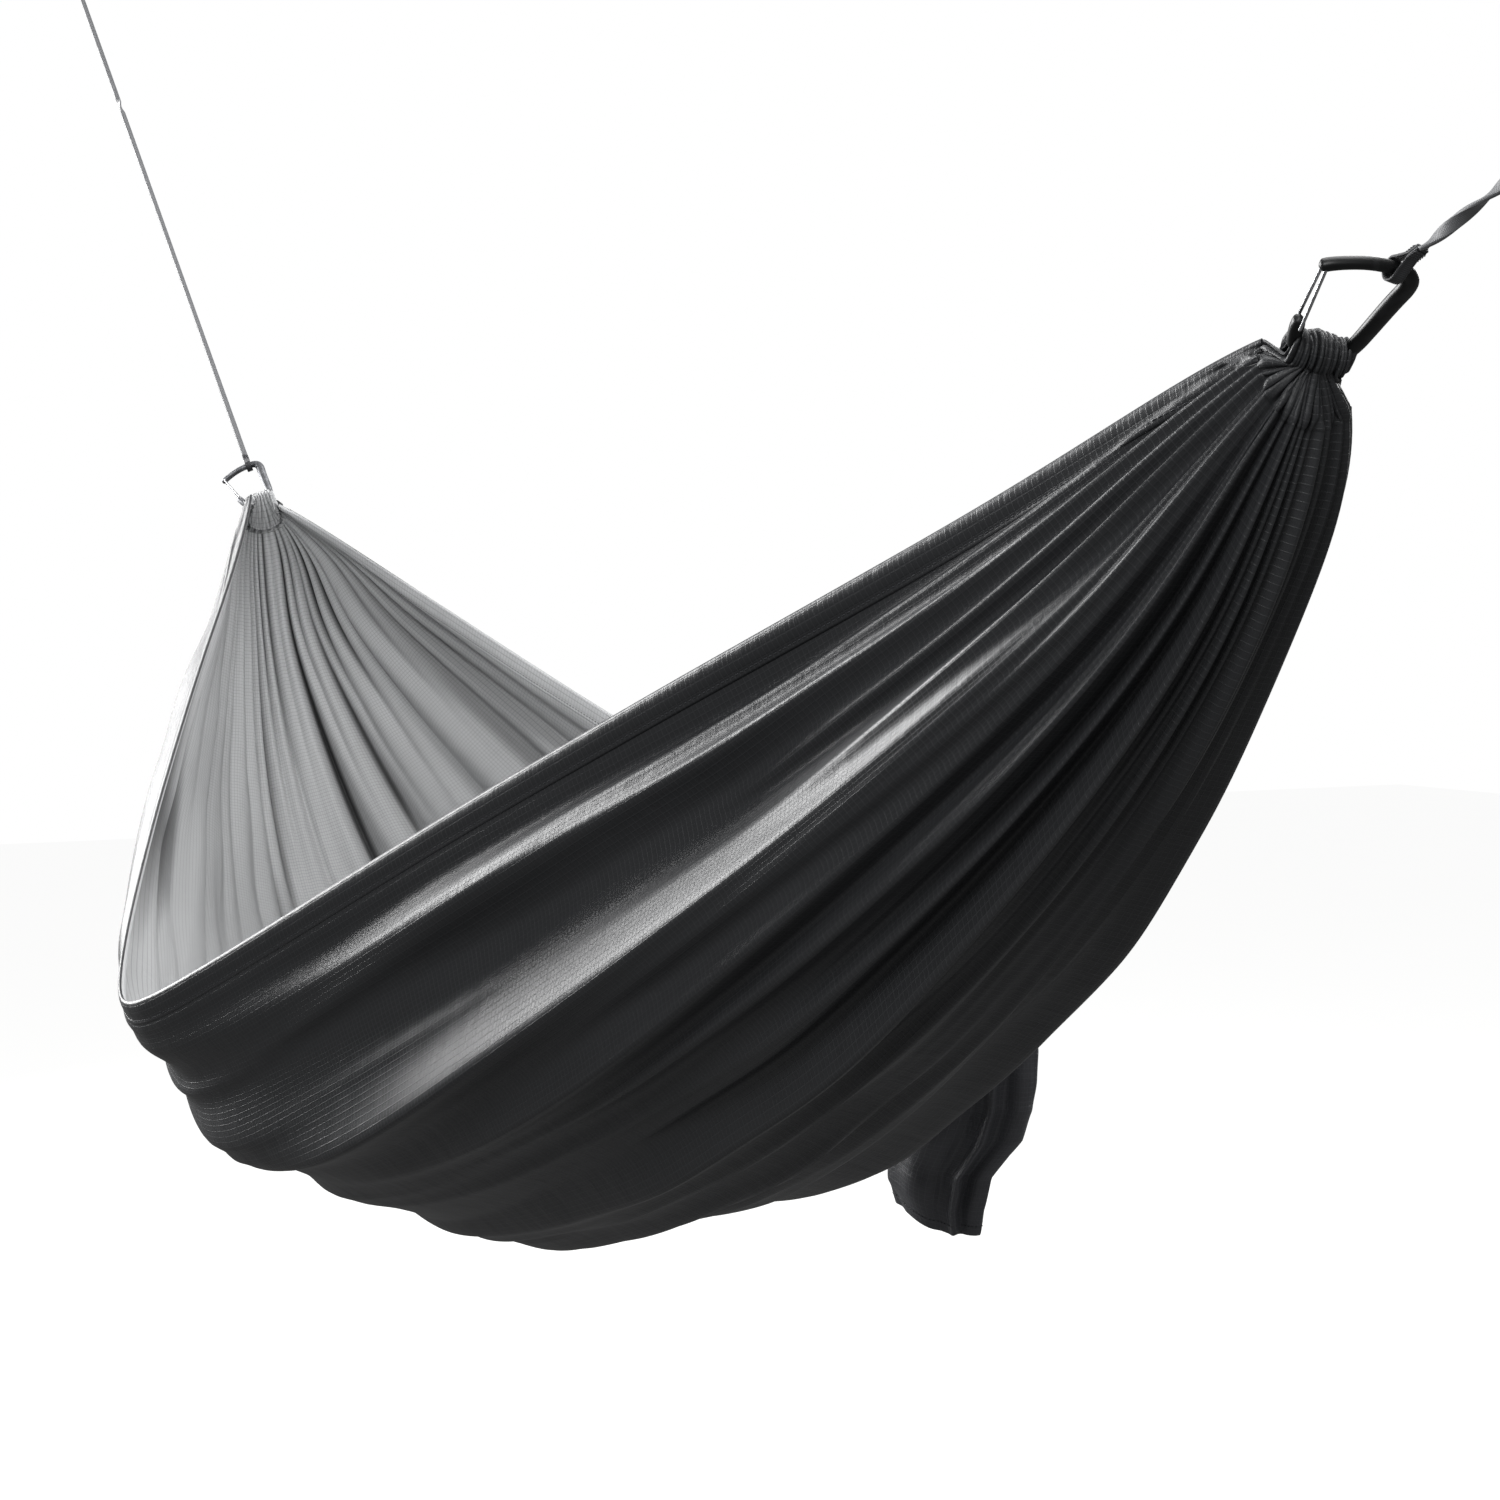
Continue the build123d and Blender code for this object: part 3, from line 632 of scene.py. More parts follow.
def hem_band(side, cloth):
    """A rolled hem: the cloth's own strip, swollen both ways by a rounded profile that pinches at the stitches.

    The profile goes in from the edge on the outside, back on the inside, and round the rolled edge."""
    points, outward, *_ = bed_cloth()
    width = cloth.hem_width
    insets = np.array([0.0, 0.08, 0.22, 0.4, 0.6, 0.78, 0.88, 0.94, 1.0, 1.12]) * width
    height = np.array([1.5, 2.1, 2.5, 2.6, 2.3, 1.7, 1.2, 1.1, 1.5, 0.9]) * 0.001
    strip, lean = strip_at(points, outward, side, insets)
    outer = strip + lean * height[None, :, None]
    inner = strip - lean * height[None, :, None]
    edge = strip[:, :1] + (strip[:, :1] - strip[:, 1:2]) * (0.0017 / (0.08 * width))
    ring = np.concatenate([outer[:, ::-1], edge, inner], axis=1)
    return ring if side < 0 else ring[:, ::-1]


def stitch_run(centres, along, out, length, radius):
    """Stitches as short rounded beads: a six-sided profile that swells and closes along each stitch."""
    turn = np.linspace(0, 2 * pi, 6, endpoint=False)
    share = np.array([-0.5, -0.25, 0.25, 0.5])
    swell = np.array([0.25, 1.0, 1.0, 0.25])
    side = unit(np.cross(along, out))
    around = (np.cos(turn)[None, None, :, None] * side[:, None, None, :]
              + np.sin(turn)[None, None, :, None] * out[:, None, None, :])
    offset = (share[None, :, None, None] * length * along[:, None, None, :]
              + radius * swell[None, :, None, None] * around)
    vertices = (centres[:, None, None, :] + offset).reshape(-1, 3)
    ring = np.arange(6)
    base = np.stack([ring, np.roll(ring, -1), np.roll(ring, -1) + 6, ring + 6], axis=-1)
    one = np.concatenate([base + 6 * k for k in range(3)])
    quads = (one[None] + 24 * np.arange(len(centres))[:, None, None]).reshape(-1, 4)
    return vertices, quads


def bead_piece(name, vertices, quads, finish):
    mesh = bpy.data.meshes.new(name)
    mesh.from_pydata(vertices.tolist(), [], quads.tolist())
    mesh.polygons.foreach_set("use_smooth", np.ones(len(quads), dtype=bool))
    mesh.materials.append(finish)
    piece = bpy.data.objects.new(name, mesh)
    bpy.context.scene.collection.objects.link(piece)
    return piece


def even_run(line, spacing):
    """Points every spacing along a polyline, with their unit directions."""
    run = np.concatenate([[0], np.cumsum(np.linalg.norm(np.diff(line, axis=0), axis=1))])
    want = np.arange(spacing / 2, run[-1], spacing)
    points = np.stack([np.interp(want, run, line[:, k]) for k in range(3)], axis=-1)
    return points, unit(np.gradient(points, axis=0)), want / run[-1]


class HAMMOCK_OT_hems(bpy.types.Operator):
    """Builds the two rolled hems and their lines of stitches."""

    bl_idname = "hammock.hems"
    bl_label = "Hems"

    def execute(self, context):
        cloth = context.scene.hammock_cloth
        points, outward, *_ = bed_cloth()
        for side, name in ((-1, "near_hem"), (1, "far_hem")):
            ring = hem_band(side, cloth)
            uv = flat_uv(ring.shape[0], ring.shape[1] + 1, cloth.flat_length, 3 * cloth.hem_width)
            band = surface(f"{name}_roll", ring, uv, material("outside"), around=True)
            band.data.materials.append(material("inside"))
            finish = np.zeros((ring.shape[0] - 1, ring.shape[1]), dtype=np.int32)
            finish[:, (slice(11, None) if side < 0 else slice(None, 10))] = 1
            band.data.polygons.foreach_set("material_index", finish.ravel())
            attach(band, "bed")
            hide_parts(name)
            line, lean = strip_at(points, outward, side, np.array([0.91 * cloth.hem_width]))
            for word, sign in (("outside", 1), ("inside", -1)):
                centres, along, share = even_run(line[:, 0], 0.0045)
                rows = np.linspace(0, 1, len(lean))
                out = np.stack([np.interp(share, rows, lean[:, 0, k]) for k in range(3)], axis=-1)
                out = unit(out) * sign
                beads = stitch_run(centres + out * 0.0012, along, out, 0.0032, 0.0004)
                thread = bead_piece(f"{name}_stitches_{word}", *beads, material("thread"))
                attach(thread, "bed")
        return {"FINISHED"}


# ---------------------------------------------------------------- end channels
def clip_axes(end):
    """One carabiner's own directions: along the basket bar, along the pull, and square to its plane, and the
    basket's place."""
    pull = unit(np.array(JOINTS[f"{end}_clip_twist"]["axis"]))
    square = -unit(np.array(JOINTS[f"{end}_gate_hinge"]["axis"]))
    turned = np.cross(pull, square)
    bar = turned * cos(BASKET_LEAN) + pull * sin(BASKET_LEAN)
    rise = pull * cos(BASKET_LEAN) - turned * sin(BASKET_LEAN)
    return bar, rise, square, middle(f"{end}_gather_cord")


def channel_shell(end):
    """The bunched end channel: each thread goes on from the stitch line up one side of the basket bar, over it
    and back down inside, along cubic Hermite curves, with fine pleats as a cosine across the threads. It stands
    lower over the bar towards the hems, by the sixth power of the place across."""
    points, _, v, *_ = bed_cloth()
    bar, rise, square, basket = clip_axes(end)
    row, inner_row = (0, 1) if end == "head" else (-1, -2)
    start = points[row]
    leave = unit(points[row] - points[inner_row])
    under = square * (-np.sign(square[2]))
    sideways = bar * np.sign(bar[1])
    across = v[0][:, None]
    ply = 0.0062 + 0.0010 * np.cos(across * 7.0)
    half_width = 0.0180
    wrap = 0.0040 + ply
    foot_line = basket + sideways * across * half_width
    low = wrap * (1 - 0.8 * across ** 6)
    legs = [
        hermite(start, np.tile(rise * 0.016, across.shape), foot_line + under * low - rise * 0.004,
                np.tile(rise * 0.010, across.shape), 22),
    ]
    turn = np.linspace(0, pi, 18)[1:-1, None, None]
    legs.append(foot_line + under * low * np.cos(turn) + rise * wrap * np.sin(turn) - rise * 0.004)
    back = start + (start.mean(axis=0) - start) * 0.30
    legs.append(hermite(foot_line - under * low - rise * 0.004, np.tile(-rise * 0.012, across.shape),
                        back, -leave * 0.008, 18))
    shell = np.concatenate(legs)
    lean = normals(shell)
    mid_row = len(shell) // 2
    lean *= np.sign(lean[mid_row, len(across) // 2] @ rise)
    run = np.linspace(0, 1, len(shell))[:, None]
    fine = np.cos(v[:1] * pi * 11 + 2.5 * np.sin(v[:1] * 7)) + 0.6 * np.cos(v[:1] * pi * 23 + 2)
    fine = fine + 0.5 * np.cos(v[:1] * 40 + 9 * run)
    depth = 0.0016 * smooth_step(run, 0, 0.12) * smooth_step(1 - run, 0, 0.12)
    return shell + (depth * fine)[..., None] * lean


class HAMMOCK_OT_channels(bpy.types.Operator):
    """Builds the end channels that bunch the cloth over each carabiner's basket."""

    bl_idname = "hammock.channels"
    bl_label = "End channels"

    def execute(self, context):
        cloth = context.scene.hammock_cloth
        for end in ENDS:
            shell = channel_shell(end)
            _, rise, _, basket = clip_axes(end)
            out = normals(shell)
            out *= np.sign(out[len(shell) // 2, BED_COLUMNS // 2] @ rise)
            half = cloth.thickness / 2
            ring = np.concatenate([shell + half * out, (shell - half * out)[:, ::-1]], axis=1)
            uv = flat_uv(ring.shape[0], ring.shape[1] + 1, 0.12, 2 * cloth.flat_width)
            piece = surface(f"{end}_channel", ring, uv, material("outside"), around=True)
            piece.data.materials.append(material("inside"))
            finish = np.zeros((ring.shape[0] - 1, ring.shape[1]), dtype=np.int32)
            if end == "foot":
                finish[len(shell) // 2 + 8:] = 1
                finish[:, BED_COLUMNS:] = 1
            piece.data.polygons.foreach_set("material_index", finish.ravel())
            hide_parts(f"{end}_end_channel", f"{end}_gather_cord")
            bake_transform(piece)
        return {"FINISHED"}


# ---------------------------------------------------------------- straps and cords
def route_line(points, steps=24):
    """The smooth line of a NURBS spline with these control points, as an array of points."""
    curve = bpy.data.curves.new("route", "CURVE")
    curve.dimensions = "3D"
    spline = curve.splines.new("NURBS")
    spline.points.add(len(points) - 1)
    for control, place in zip(spline.points, points):
        control.co = (*place, 1)
    spline.order_u = 3
    spline.use_endpoint_u = True
    spline.resolution_u = steps
    holder = bpy.data.objects.new("route", curve)
    bpy.context.scene.collection.objects.link(holder)
    mesh = bpy.data.meshes.new_from_object(holder)
    line = np.array([vertex.co for vertex in mesh.vertices])
    bpy.data.objects.remove(holder)
    bpy.data.curves.remove(curve)
    bpy.data.meshes.remove(mesh)
    return line


def band_along(line, first_side, width, thickness, angle, corner=0.3, count=14):
    """A band carried along a line: a superellipse section, turned about the line by the angle at each row.

    A corner of 0.3 gives a rounded rectangle and of 1 an ellipse."""
    tangent = unit(np.gradient(line, axis=0))
    side = np.array(first_side, float) - tangent * (tangent @ np.array(first_side, float))[:, None]
    side = unit(side)
    up = np.cross(tangent, side)
    wide = side * np.cos(angle)[:, None] + up * np.sin(angle)[:, None]
    thick = np.cross(tangent, wide)
    turn = np.linspace(0, 2 * pi, count, endpoint=False)
    a = np.sign(np.cos(turn)) * np.abs(np.cos(turn)) ** corner * width / 2
    b = np.sign(np.sin(turn)) * np.abs(np.sin(turn)) ** corner * thickness / 2
    return line[:, None] + wide[:, None] * a[None, :, None] + thick[:, None] * b[None, :, None]


def closed_band(name, rings, length, girth, finish):
    """A band surface whose two ends are drawn together to a point."""
    first = rings[0].mean(axis=0)[None, None]
    last = rings[-1].mean(axis=0)[None, None]
    cap = np.ones((1, rings.shape[1], 1))
    rings = np.concatenate([first * cap, rings, last * cap])
    uv = flat_uv(rings.shape[0], rings.shape[1] + 1, length, girth)
    return surface(name, rings[:, ::-1], uv, finish, around=True)


THROAT = 0.022           # a loop's throat ends this far from its middle
STRAP_WIDTH = 0.0070
STRAP_THICKNESS = 0.0026
HALF_TURN = 0.043        # the short strap shows its edge this often
FOOT_TWIST = 0.87        # the long strap turns over once, this far from its carabiner
LOOP_WIDTH = 0.0070
LOOP_INNER = 0.0056
LOOP_PLY = 0.0016


def strap_line(end):
    """The middles of a strap's two eyes, at its carabiner and on its anchor ring, and the way between them."""
    seat = np.array(JOINTS[f"{end}_clip_twist"]["pos_m"])
    mounts = {mount["name"]: mount for mount in frame["record"]["mounts"]}
    hook = np.array(mounts[f"{end}_anchor"]["pos_m"])
    return seat, hook, unit(hook - seat)


def webbing_eye(end, which):
    """A sewn eye in the strap: one ply of webbing from the throat round the bar and back to the throat.

    Its centre line is a straight, an arc of the eye's radius and a straight, joined, evened out and smoothed."""
    seat, hook, way = strap_line(end)
    centre, outward = (seat, way) if which == "clip" else (hook, -way)
    bar = np.array((0.0, 1.0, 0.0))
    if which == "clip":
        bar = np.cross(unit(np.array(JOINTS[f"{end}_clip_twist"]["axis"])),
                       -unit(np.array(JOINTS[f"{end}_gate_hinge"]["axis"])))
    axis = unit(bar - outward * (bar @ outward))
    aside = np.cross(axis, outward)
    radius = LOOP_INNER + LOOP_PLY / 2
    turn = np.linspace(radians(52), radians(308), 40)
    arc = centre + radius * (np.cos(turn)[:, None] * outward + np.sin(turn)[:, None] * aside)
    gap = LOOP_PLY * 0.52
    start = centre + outward * np.linspace(THROAT, 0.0145, 7)[:, None] + aside * gap
    stop = centre + outward * np.linspace(0.0145, THROAT, 7)[:, None] - aside * gap
    line = np.concatenate([start, arc, stop])
    fine = np.linspace(0, 1, 90)
    run = np.concatenate([[0], np.cumsum(np.linalg.norm(np.diff(line, axis=0), axis=1))])
    line = np.stack([np.interp(fine, run / run[-1], line[:, k]) for k in range(3)], axis=-1)
    kernel = np.array([1, 2, 3, 2, 1]) / 9
    padded = np.concatenate([line[:1]] * 2 + [line] + [line[-1:]] * 2)
    line = np.stack([np.convolve(padded[:, k], kernel, mode="valid") for k in range(3)], axis=-1)
    rings = band_along(line, axis, LOOP_WIDTH, LOOP_PLY * 0.94, np.zeros(len(line)))
    return rings, run[-1], outward, axis, aside, centre


class HAMMOCK_OT_straps(bpy.types.Operator):
    """Builds the two twisted straps, their sewn eyes and the bartacks."""

    bl_idname = "hammock.straps"
    bl_label = "Straps"

    def execute(self, context):
        for end in ENDS:
            seat, hook, way = strap_line(end)
            inner, outer = seat + way * THROAT, hook - way * THROAT
            length = float(np.linalg.norm(outer - inner))
            route = [inner + (outer - inner) * share for share in (0, 0.5, 1)]
            line = route_line([tuple(p) for p in route])
            steps = max(60, int(length / 0.0022))
            run = np.concatenate([[0], np.cumsum(np.linalg.norm(np.diff(line, axis=0), axis=1))])
            want = np.linspace(0, run[-1], steps)
            line = np.stack([np.interp(want, run, line[:, k]) for k in range(3)], axis=-1)
            uneven = want + 0.006 * np.sin(want / 0.031) + 0.004 * np.sin(want / 0.0123 + 1)
            if end == "head":
                angle = pi * uneven / HALF_TURN
            else:
                angle = pi * smooth_step(want, FOOT_TWIST - 0.03, FOOT_TWIST + 0.03)
                angle = angle + 0.25 * np.sin(want * 4.0)
            rings = band_along(line, (0, 1, 0), STRAP_WIDTH, STRAP_THICKNESS, angle)
            strap = closed_band(f"{end}_strap_webbing", rings, length, 2 * STRAP_WIDTH, material("webbing"))
            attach(strap, "bed")
            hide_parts(f"{end}_strap")
            for which in ("clip", "anchor"):
                rings, girth, outward, axis, aside, centre = webbing_eye(end, which)
                eye = closed_band(f"{end}_{which}_eye", rings, girth, 2 * LOOP_WIDTH, material("loop"))
                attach(eye, "bed")
                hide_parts(f"{end}_{which}_loop")
                tack = self.bartack(f"{end}_{which}_tack", centre + outward * 0.0165, outward, axis, aside)
                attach(tack, "bed")
                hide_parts(f"{end}_{which}_bartack")
        return {"FINISHED"}

    def bartack(self, name, centre, outward, axis, aside):
        """Rows of dense zigzag stitches over the throat, as beads on both faces."""
        across = np.linspace(-0.45, 0.45, 12) * LOOP_WIDTH
        along = np.linspace(-0.0026, 0.0026, 4)
        places = [centre + axis * a + outward * b + aside * face * 0.0019
                  for face in (-1, 1) for b in along for a in across]
        places = np.array(places)
        slant = np.tile(np.array([1, -1]), len(places) // 2)[:, None]
        direction = unit(outward * 0.8 + axis * slant * 0.6)
        out = np.repeat(np.array([-aside, aside]), len(places) // 2, axis=0)
        return bead_piece(name, *stitch_run(places, direction, out, 0.0024, 0.00035), material("thread"))


# ---------------------------------------------------------------- stuff sack
SACK_TURN = radians(25)  # its broad side, turned from the hem's direction
SACK_LENGTH = 0.300      # channel to bottom
SACK_PLY = 0.0012
CHANNEL_HEIGHT = 0.020
MOUTH_HALF_WIDTH = 0.0654
MOUTH_HALF_DEPTH = 0.0210
CORD_DIAMETER = 0.003
# Down the sack, as shares of its length: its reach to either side of the middle, and its half depth.
SACK_DOWN = (0.0, 0.12, 0.35, 0.55, 0.66, 0.80, 0.92, 1.0)
SACK_LEFT = (0.063, 0.066, 0.074, 0.082, 0.090, 0.102, 0.104, 0.094)
SACK_RIGHT = (0.063, 0.068, 0.072, 0.070, 0.056, 0.022, 0.012, 0.008)
SACK_DEPTH = (0.019, 0.023, 0.029, 0.030, 0.028, 0.025, 0.022, 0.016)
SACK_SLANT = 0.020       # how much higher the bottom's left corner hangs
# Folds down the sack: angle round it at the mouth and at the bottom, half width, height.
SACK_FOLDS = (
    (-0.95, -1.00, 0.08, 0.015),
    (-0.62, -0.72, 0.16, -0.010),
    (-1.70, -1.75, 0.40, 0.008),
    (-1.25, -1.32, 0.12, -0.006),
    (2.60, 2.40, 0.30, 0.006),
    (1.20, 1.45, 0.28, 0.007),
    (0.45, 0.30, 0.20, -0.006),
)
# One drawcord strand, in the sack's own directions: sideways, outward from the middle and down from the top.
STRAND = ((0.005, 0.0243, 0.010), (0.005, 0.0373, 0.015), (0.005, 0.0405, 0.040), (0.006, 0.0385, 0.068),
          (0.0022, 0.0375, 0.0968))
KNOT = (0.0, 0.0375, 0.105)


def sack_place(local):
    """Points of the sack's own directions (along its broad side, outward, up from its top) in the frame."""
    low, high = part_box("sack_mouth_channel")
    top = np.array(((low.x + high.x) / 2, (low.y + high.y) / 2, high.z))
    x, y, z = np.moveaxis(np.asarray(local, float), -1, 0)
    turned = np.stack([x * cos(SACK_TURN) - y * sin(SACK_TURN),
                       x * sin(SACK_TURN) + y * cos(SACK_TURN), z], -1)
    return top + turned


def sack_wall(down, turn):
    """The sack's wall in its own directions.

    Each level is an ellipse with its own reach to the left and right, flattened by the power 0.8 of the sine.
    Folds are ridges exp(-x^2) of the angle, and the bottom slants up to the left."""
    level = np.clip(down, 0, 1)
    left, right = np.interp(level, SACK_DOWN, SACK_LEFT), np.interp(level, SACK_DOWN, SACK_RIGHT)
    middle_x = (right - left) / 2
    half = (right + left) / 2
    depth = np.interp(level, SACK_DOWN, SACK_DEPTH)
    relief = np.zeros(np.broadcast(level, turn).shape)
    for mouth, bottom, width, height in SACK_FOLDS:
        apart = (turn - mouth - (bottom - mouth) * level + pi) % (2 * pi) - pi
        relief += height * np.exp(-(apart / width) ** 2)
    relief *= smooth_step(level, 0.0, 0.15) * (1 - 0.5 * smooth_step(level, 0.85, 1.0))
    dents = lattice_noise(level, (turn % (2 * pi)) / (2 * pi), (9, 12), 21)
    relief += 0.0032 * smooth_step(level, 0, 0.1) * dents
    puckers = 0.0016 * np.cos(26 * turn) * (1 - smooth_step(level, 0.0, 0.14))
    x = middle_x + (half + relief + puckers) * np.cos(turn)
    y = (depth + relief + puckers) * np.sign(np.sin(turn)) * np.abs(np.sin(turn)) ** 0.8
    lift = SACK_SLANT * smooth_step(level, 0.45, 1.0) * smooth_step(-x, 0.015, 0.10)
    return np.stack([x, y, -CHANNEL_HEIGHT - SACK_LENGTH * level + lift], -1)


def shrunk_to(ring, middle_point, shares):
    """Rows that go from a ring in to one point, at the given shares of the way."""
    return np.stack([ring + (middle_point - ring) * share for share in shares])


class HAMMOCK_OT_sack(bpy.types.Operator):
    """Builds the empty stuff sack: its folded wall, its bottom panel and its puckered mouth channel."""

    bl_idname = "hammock.sack"
    bl_label = "Stuff sack"

    def execute(self, context):
        turn = np.linspace(0, 2 * pi, 181)[:-1]
        level, around = np.meshgrid(np.linspace(-0.01, 1, 96), turn, indexing="ij")
        wall = sack_wall(level, around)
        inner = wall - SACK_PLY * np.sign(wall) * np.array((1, 1, 0))
        above = np.array((0, 0, SACK_PLY))
        low_ring, low_middle = wall[-1], wall[-1].mean(axis=0) + 3 * above
        floor_in = shrunk_to(inner[-1] + above, low_middle + above, (1.0, 0.7, 0.35, 0.0))
        shell = np.concatenate([floor_in, inner[::-1], wall])
        body = surface("sack_cloth", sack_place(shell)[:, ::-1], flat_uv(len(shell), 181, 0.64, 0.32),
                       material("sack"), around=True)
        panel_rows = shrunk_to(low_ring, low_middle - 2 * above, (0.0, 0.02, 0.3, 0.6, 0.85, 1.0))
        panel_rows[1:-1] -= 2 * above
        panel = surface("sack_panel", sack_place(panel_rows)[:, ::-1], flat_uv(6, 181, 0.06, 0.24),
                        material("sack"), around=True)
        channel = self.channel(turn)
        for piece, nodes in ((body, ["sack_body"]), (panel, ["sack_bottom"]),
                             (channel, ["sack_mouth_channel", "sack_drawcord"])):
            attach(piece, "stuff_sack")
            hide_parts(*nodes)
        self.seam("sack_mouth_stitches", sack_wall(0.012 + 0 * turn, turn), 1.0016)
        self.seam("sack_bottom_stitches", sack_wall(0.975 + 0 * turn, turn), 1.004)
        return {"FINISHED"}

    def channel(self, turn):
        """The mouth channel: a rounded band round the mouth, gathered into puckers as a cosine of the angle."""
        section = np.linspace(0, 2 * pi, 20, endpoint=False)
        around, phase = np.meshgrid(turn, section, indexing="ij")
        pucker = 0.0017 * np.cos(26 * around + 0.8 * np.sin(3 * around)) * (1 + 0.4 * np.sin(5 * around))
        swell = 0.0027 + 0.5 * pucker * smooth_step(np.cos(phase), -0.4, 0.2)
        out = swell * np.sign(np.cos(phase)) * np.abs(np.cos(phase)) ** 0.7
        rise = 0.5 * CHANNEL_HEIGHT * np.sign(np.sin(phase)) * np.abs(np.sin(phase)) ** 0.8
        rise = rise - 0.5 * CHANNEL_HEIGHT + 0.0012 * np.cos(13 * around) * (rise > 0)
        x = (MOUTH_HALF_WIDTH + out + pucker) * np.cos(around)
        y = (MOUTH_HALF_DEPTH + out + pucker) * np.sin(around)
        ring = sack_place(np.stack([x, y, rise], -1))
        return surface("sack_channel", ring[:, ::-1], flat_uv(181, 21, 0.32, 0.05), material("sack"),
                       around=True, along=True)

    def seam(self, name, line, grow):
        line = sack_place(np.vstack([line, line[:1]]) * np.array((grow, grow, 1)))
        centres, along, _ = even_run(line, 0.0042)
        out = unit(np.cross(along, np.array((0, 0, 1.0))))
        out *= np.sign(((centres - centres.mean(axis=0)) * out).sum())
        piece = bead_piece(name, *stitch_run(centres + out * 0.0004, along, out, 0.0030, 0.0004),
                           material("thread"))
        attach(piece, "stuff_sack")


def tube(name, line, diameter, finish):
    """A closed round tube along a line."""
    rings = band_along(line, (1, 0, 0.1), diameter, diameter, np.zeros(len(line)), corner=1.0, count=12)
    length = float(np.linalg.norm(np.diff(line, axis=0), axis=1).sum())
    return closed_band(name, rings, length, pi * diameter, finish), length


class HAMMOCK_OT_drawcord(bpy.types.Operator):
    """Builds the drawcord's two strands, its knot and its two free tips."""

    bl_idname = "hammock.drawcord"
    bl_label = "Drawcord"

    def execute(self, context):
        knot = self.knot()
        tips = []
        for side, word in ((-1, "left"), (1, "right")):
            local = [(side * a, b, -c) for a, b, c in STRAND]
            route = sack_place(local)
            line = route_line([tuple(p) for p in route])
            strand, length = tube(f"drawcord_{word}", line, CORD_DIAMETER, material("drawcord"))
            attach(strand, "stuff_sack")
            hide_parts(f"sack_drawcord_{word}")
            tip = sack_place([(side * 0.002, 0.0375, -0.109), (side * 0.004, 0.038, -0.117),
                              (side * 0.008, 0.0365, -0.125)])
            end, _ = tube(f"drawcord_tip_{word}", route_line([tuple(p) for p in tip]), CORD_DIAMETER,
                          material("drawcord"))
            tips.append(end)
        for piece in (knot, *tips):
            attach(piece, "stuff_sack")
        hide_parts("sack_knot")
        return {"FINISHED"}

    def knot(self):
        """An overhand knot: the trefoil (sin t + 2 sin 2t, cos t - 2 cos 2t, -sin 3t) drawn tight."""
        t = np.linspace(0, 2 * pi, 120)
        loop = np.stack([np.sin(t) + 2 * np.sin(2 * t), 1.6 * np.sin(3 * t),
                         np.cos(t) - 2 * np.cos(2 * t)], -1)
        line = sack_place(np.array((KNOT[0], KNOT[1], -KNOT[2])) + 0.00155 * loop)
        piece, _ = tube("drawcord_knot", line, CORD_DIAMETER * 1.15, material("drawcord"))
        return piece


class HAMMOCK_OT_tab(bpy.types.Operator):
    """Builds the grosgrain tab that is sewn over the far hem and holds the sack's mouth."""

    bl_idname = "hammock.tab"
    bl_label = "Sack tab"

    def execute(self, context):
        hinge = np.array(JOINTS["sack_swing"]["pos_m"])
        hem = hinge + np.array((0, -0.0146, 0.0167))
        profile = [(-0.006, -0.012), (-0.004, 0.001), (0.001, 0.0062), (0.0075, 0.0035), (0.0125, -0.009),
                   (0.0146, -0.0167), (0.0125, -0.026), (0.0098, -0.035), (0.0092, -0.046)]
        route = [(hem[0], hem[1] + out, hem[2] + up) for out, up in profile]
        line = route_line(route)
        rings = band_along(line, (1, 0, 0), 0.015, 0.0011, np.zeros(len(line)))
        piece = closed_band("sack_tab_ribbon", rings, 0.07, 0.032, material("ribbon"))
        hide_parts("hem_tab", "sack_tab")
        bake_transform(piece)
        return {"FINISHED"}


# ---------------------------------------------------------------- hardware
# The forged bar's middle line in the clip's plane, from nose to arm: along the basket bar, up the pull, and the
# bar's half width in that plane.
BASKET = (-0.0025, -0.0045)
FORGED_BAR = (
    (-0.0310, 0.0548, 0.0030), (-0.0285, 0.0572, 0.0034), (-0.0180, 0.0612, 0.0029), (-0.0060, 0.0640, 0.0030),
    (0.0060, 0.0640, 0.0033), (0.0165, 0.0620, 0.0044), (0.0205, 0.0540, 0.0052), (0.0180, 0.0400, 0.0052),
    (0.0158, 0.0200, 0.0050), (0.0140, 0.0040, 0.0048), (0.0110, -0.0045, 0.0042), (0.0000, -0.0050, 0.0038),
    (-0.0120, -0.0050, 0.0038), (-0.0190, -0.0030, 0.0038), (-0.0218, 0.0060, 0.0040), (-0.0236, 0.0140, 0.0040),
    (-0.0242, 0.0178, 0.0026),
)
BAR_HALF_THICKNESS = 0.0037


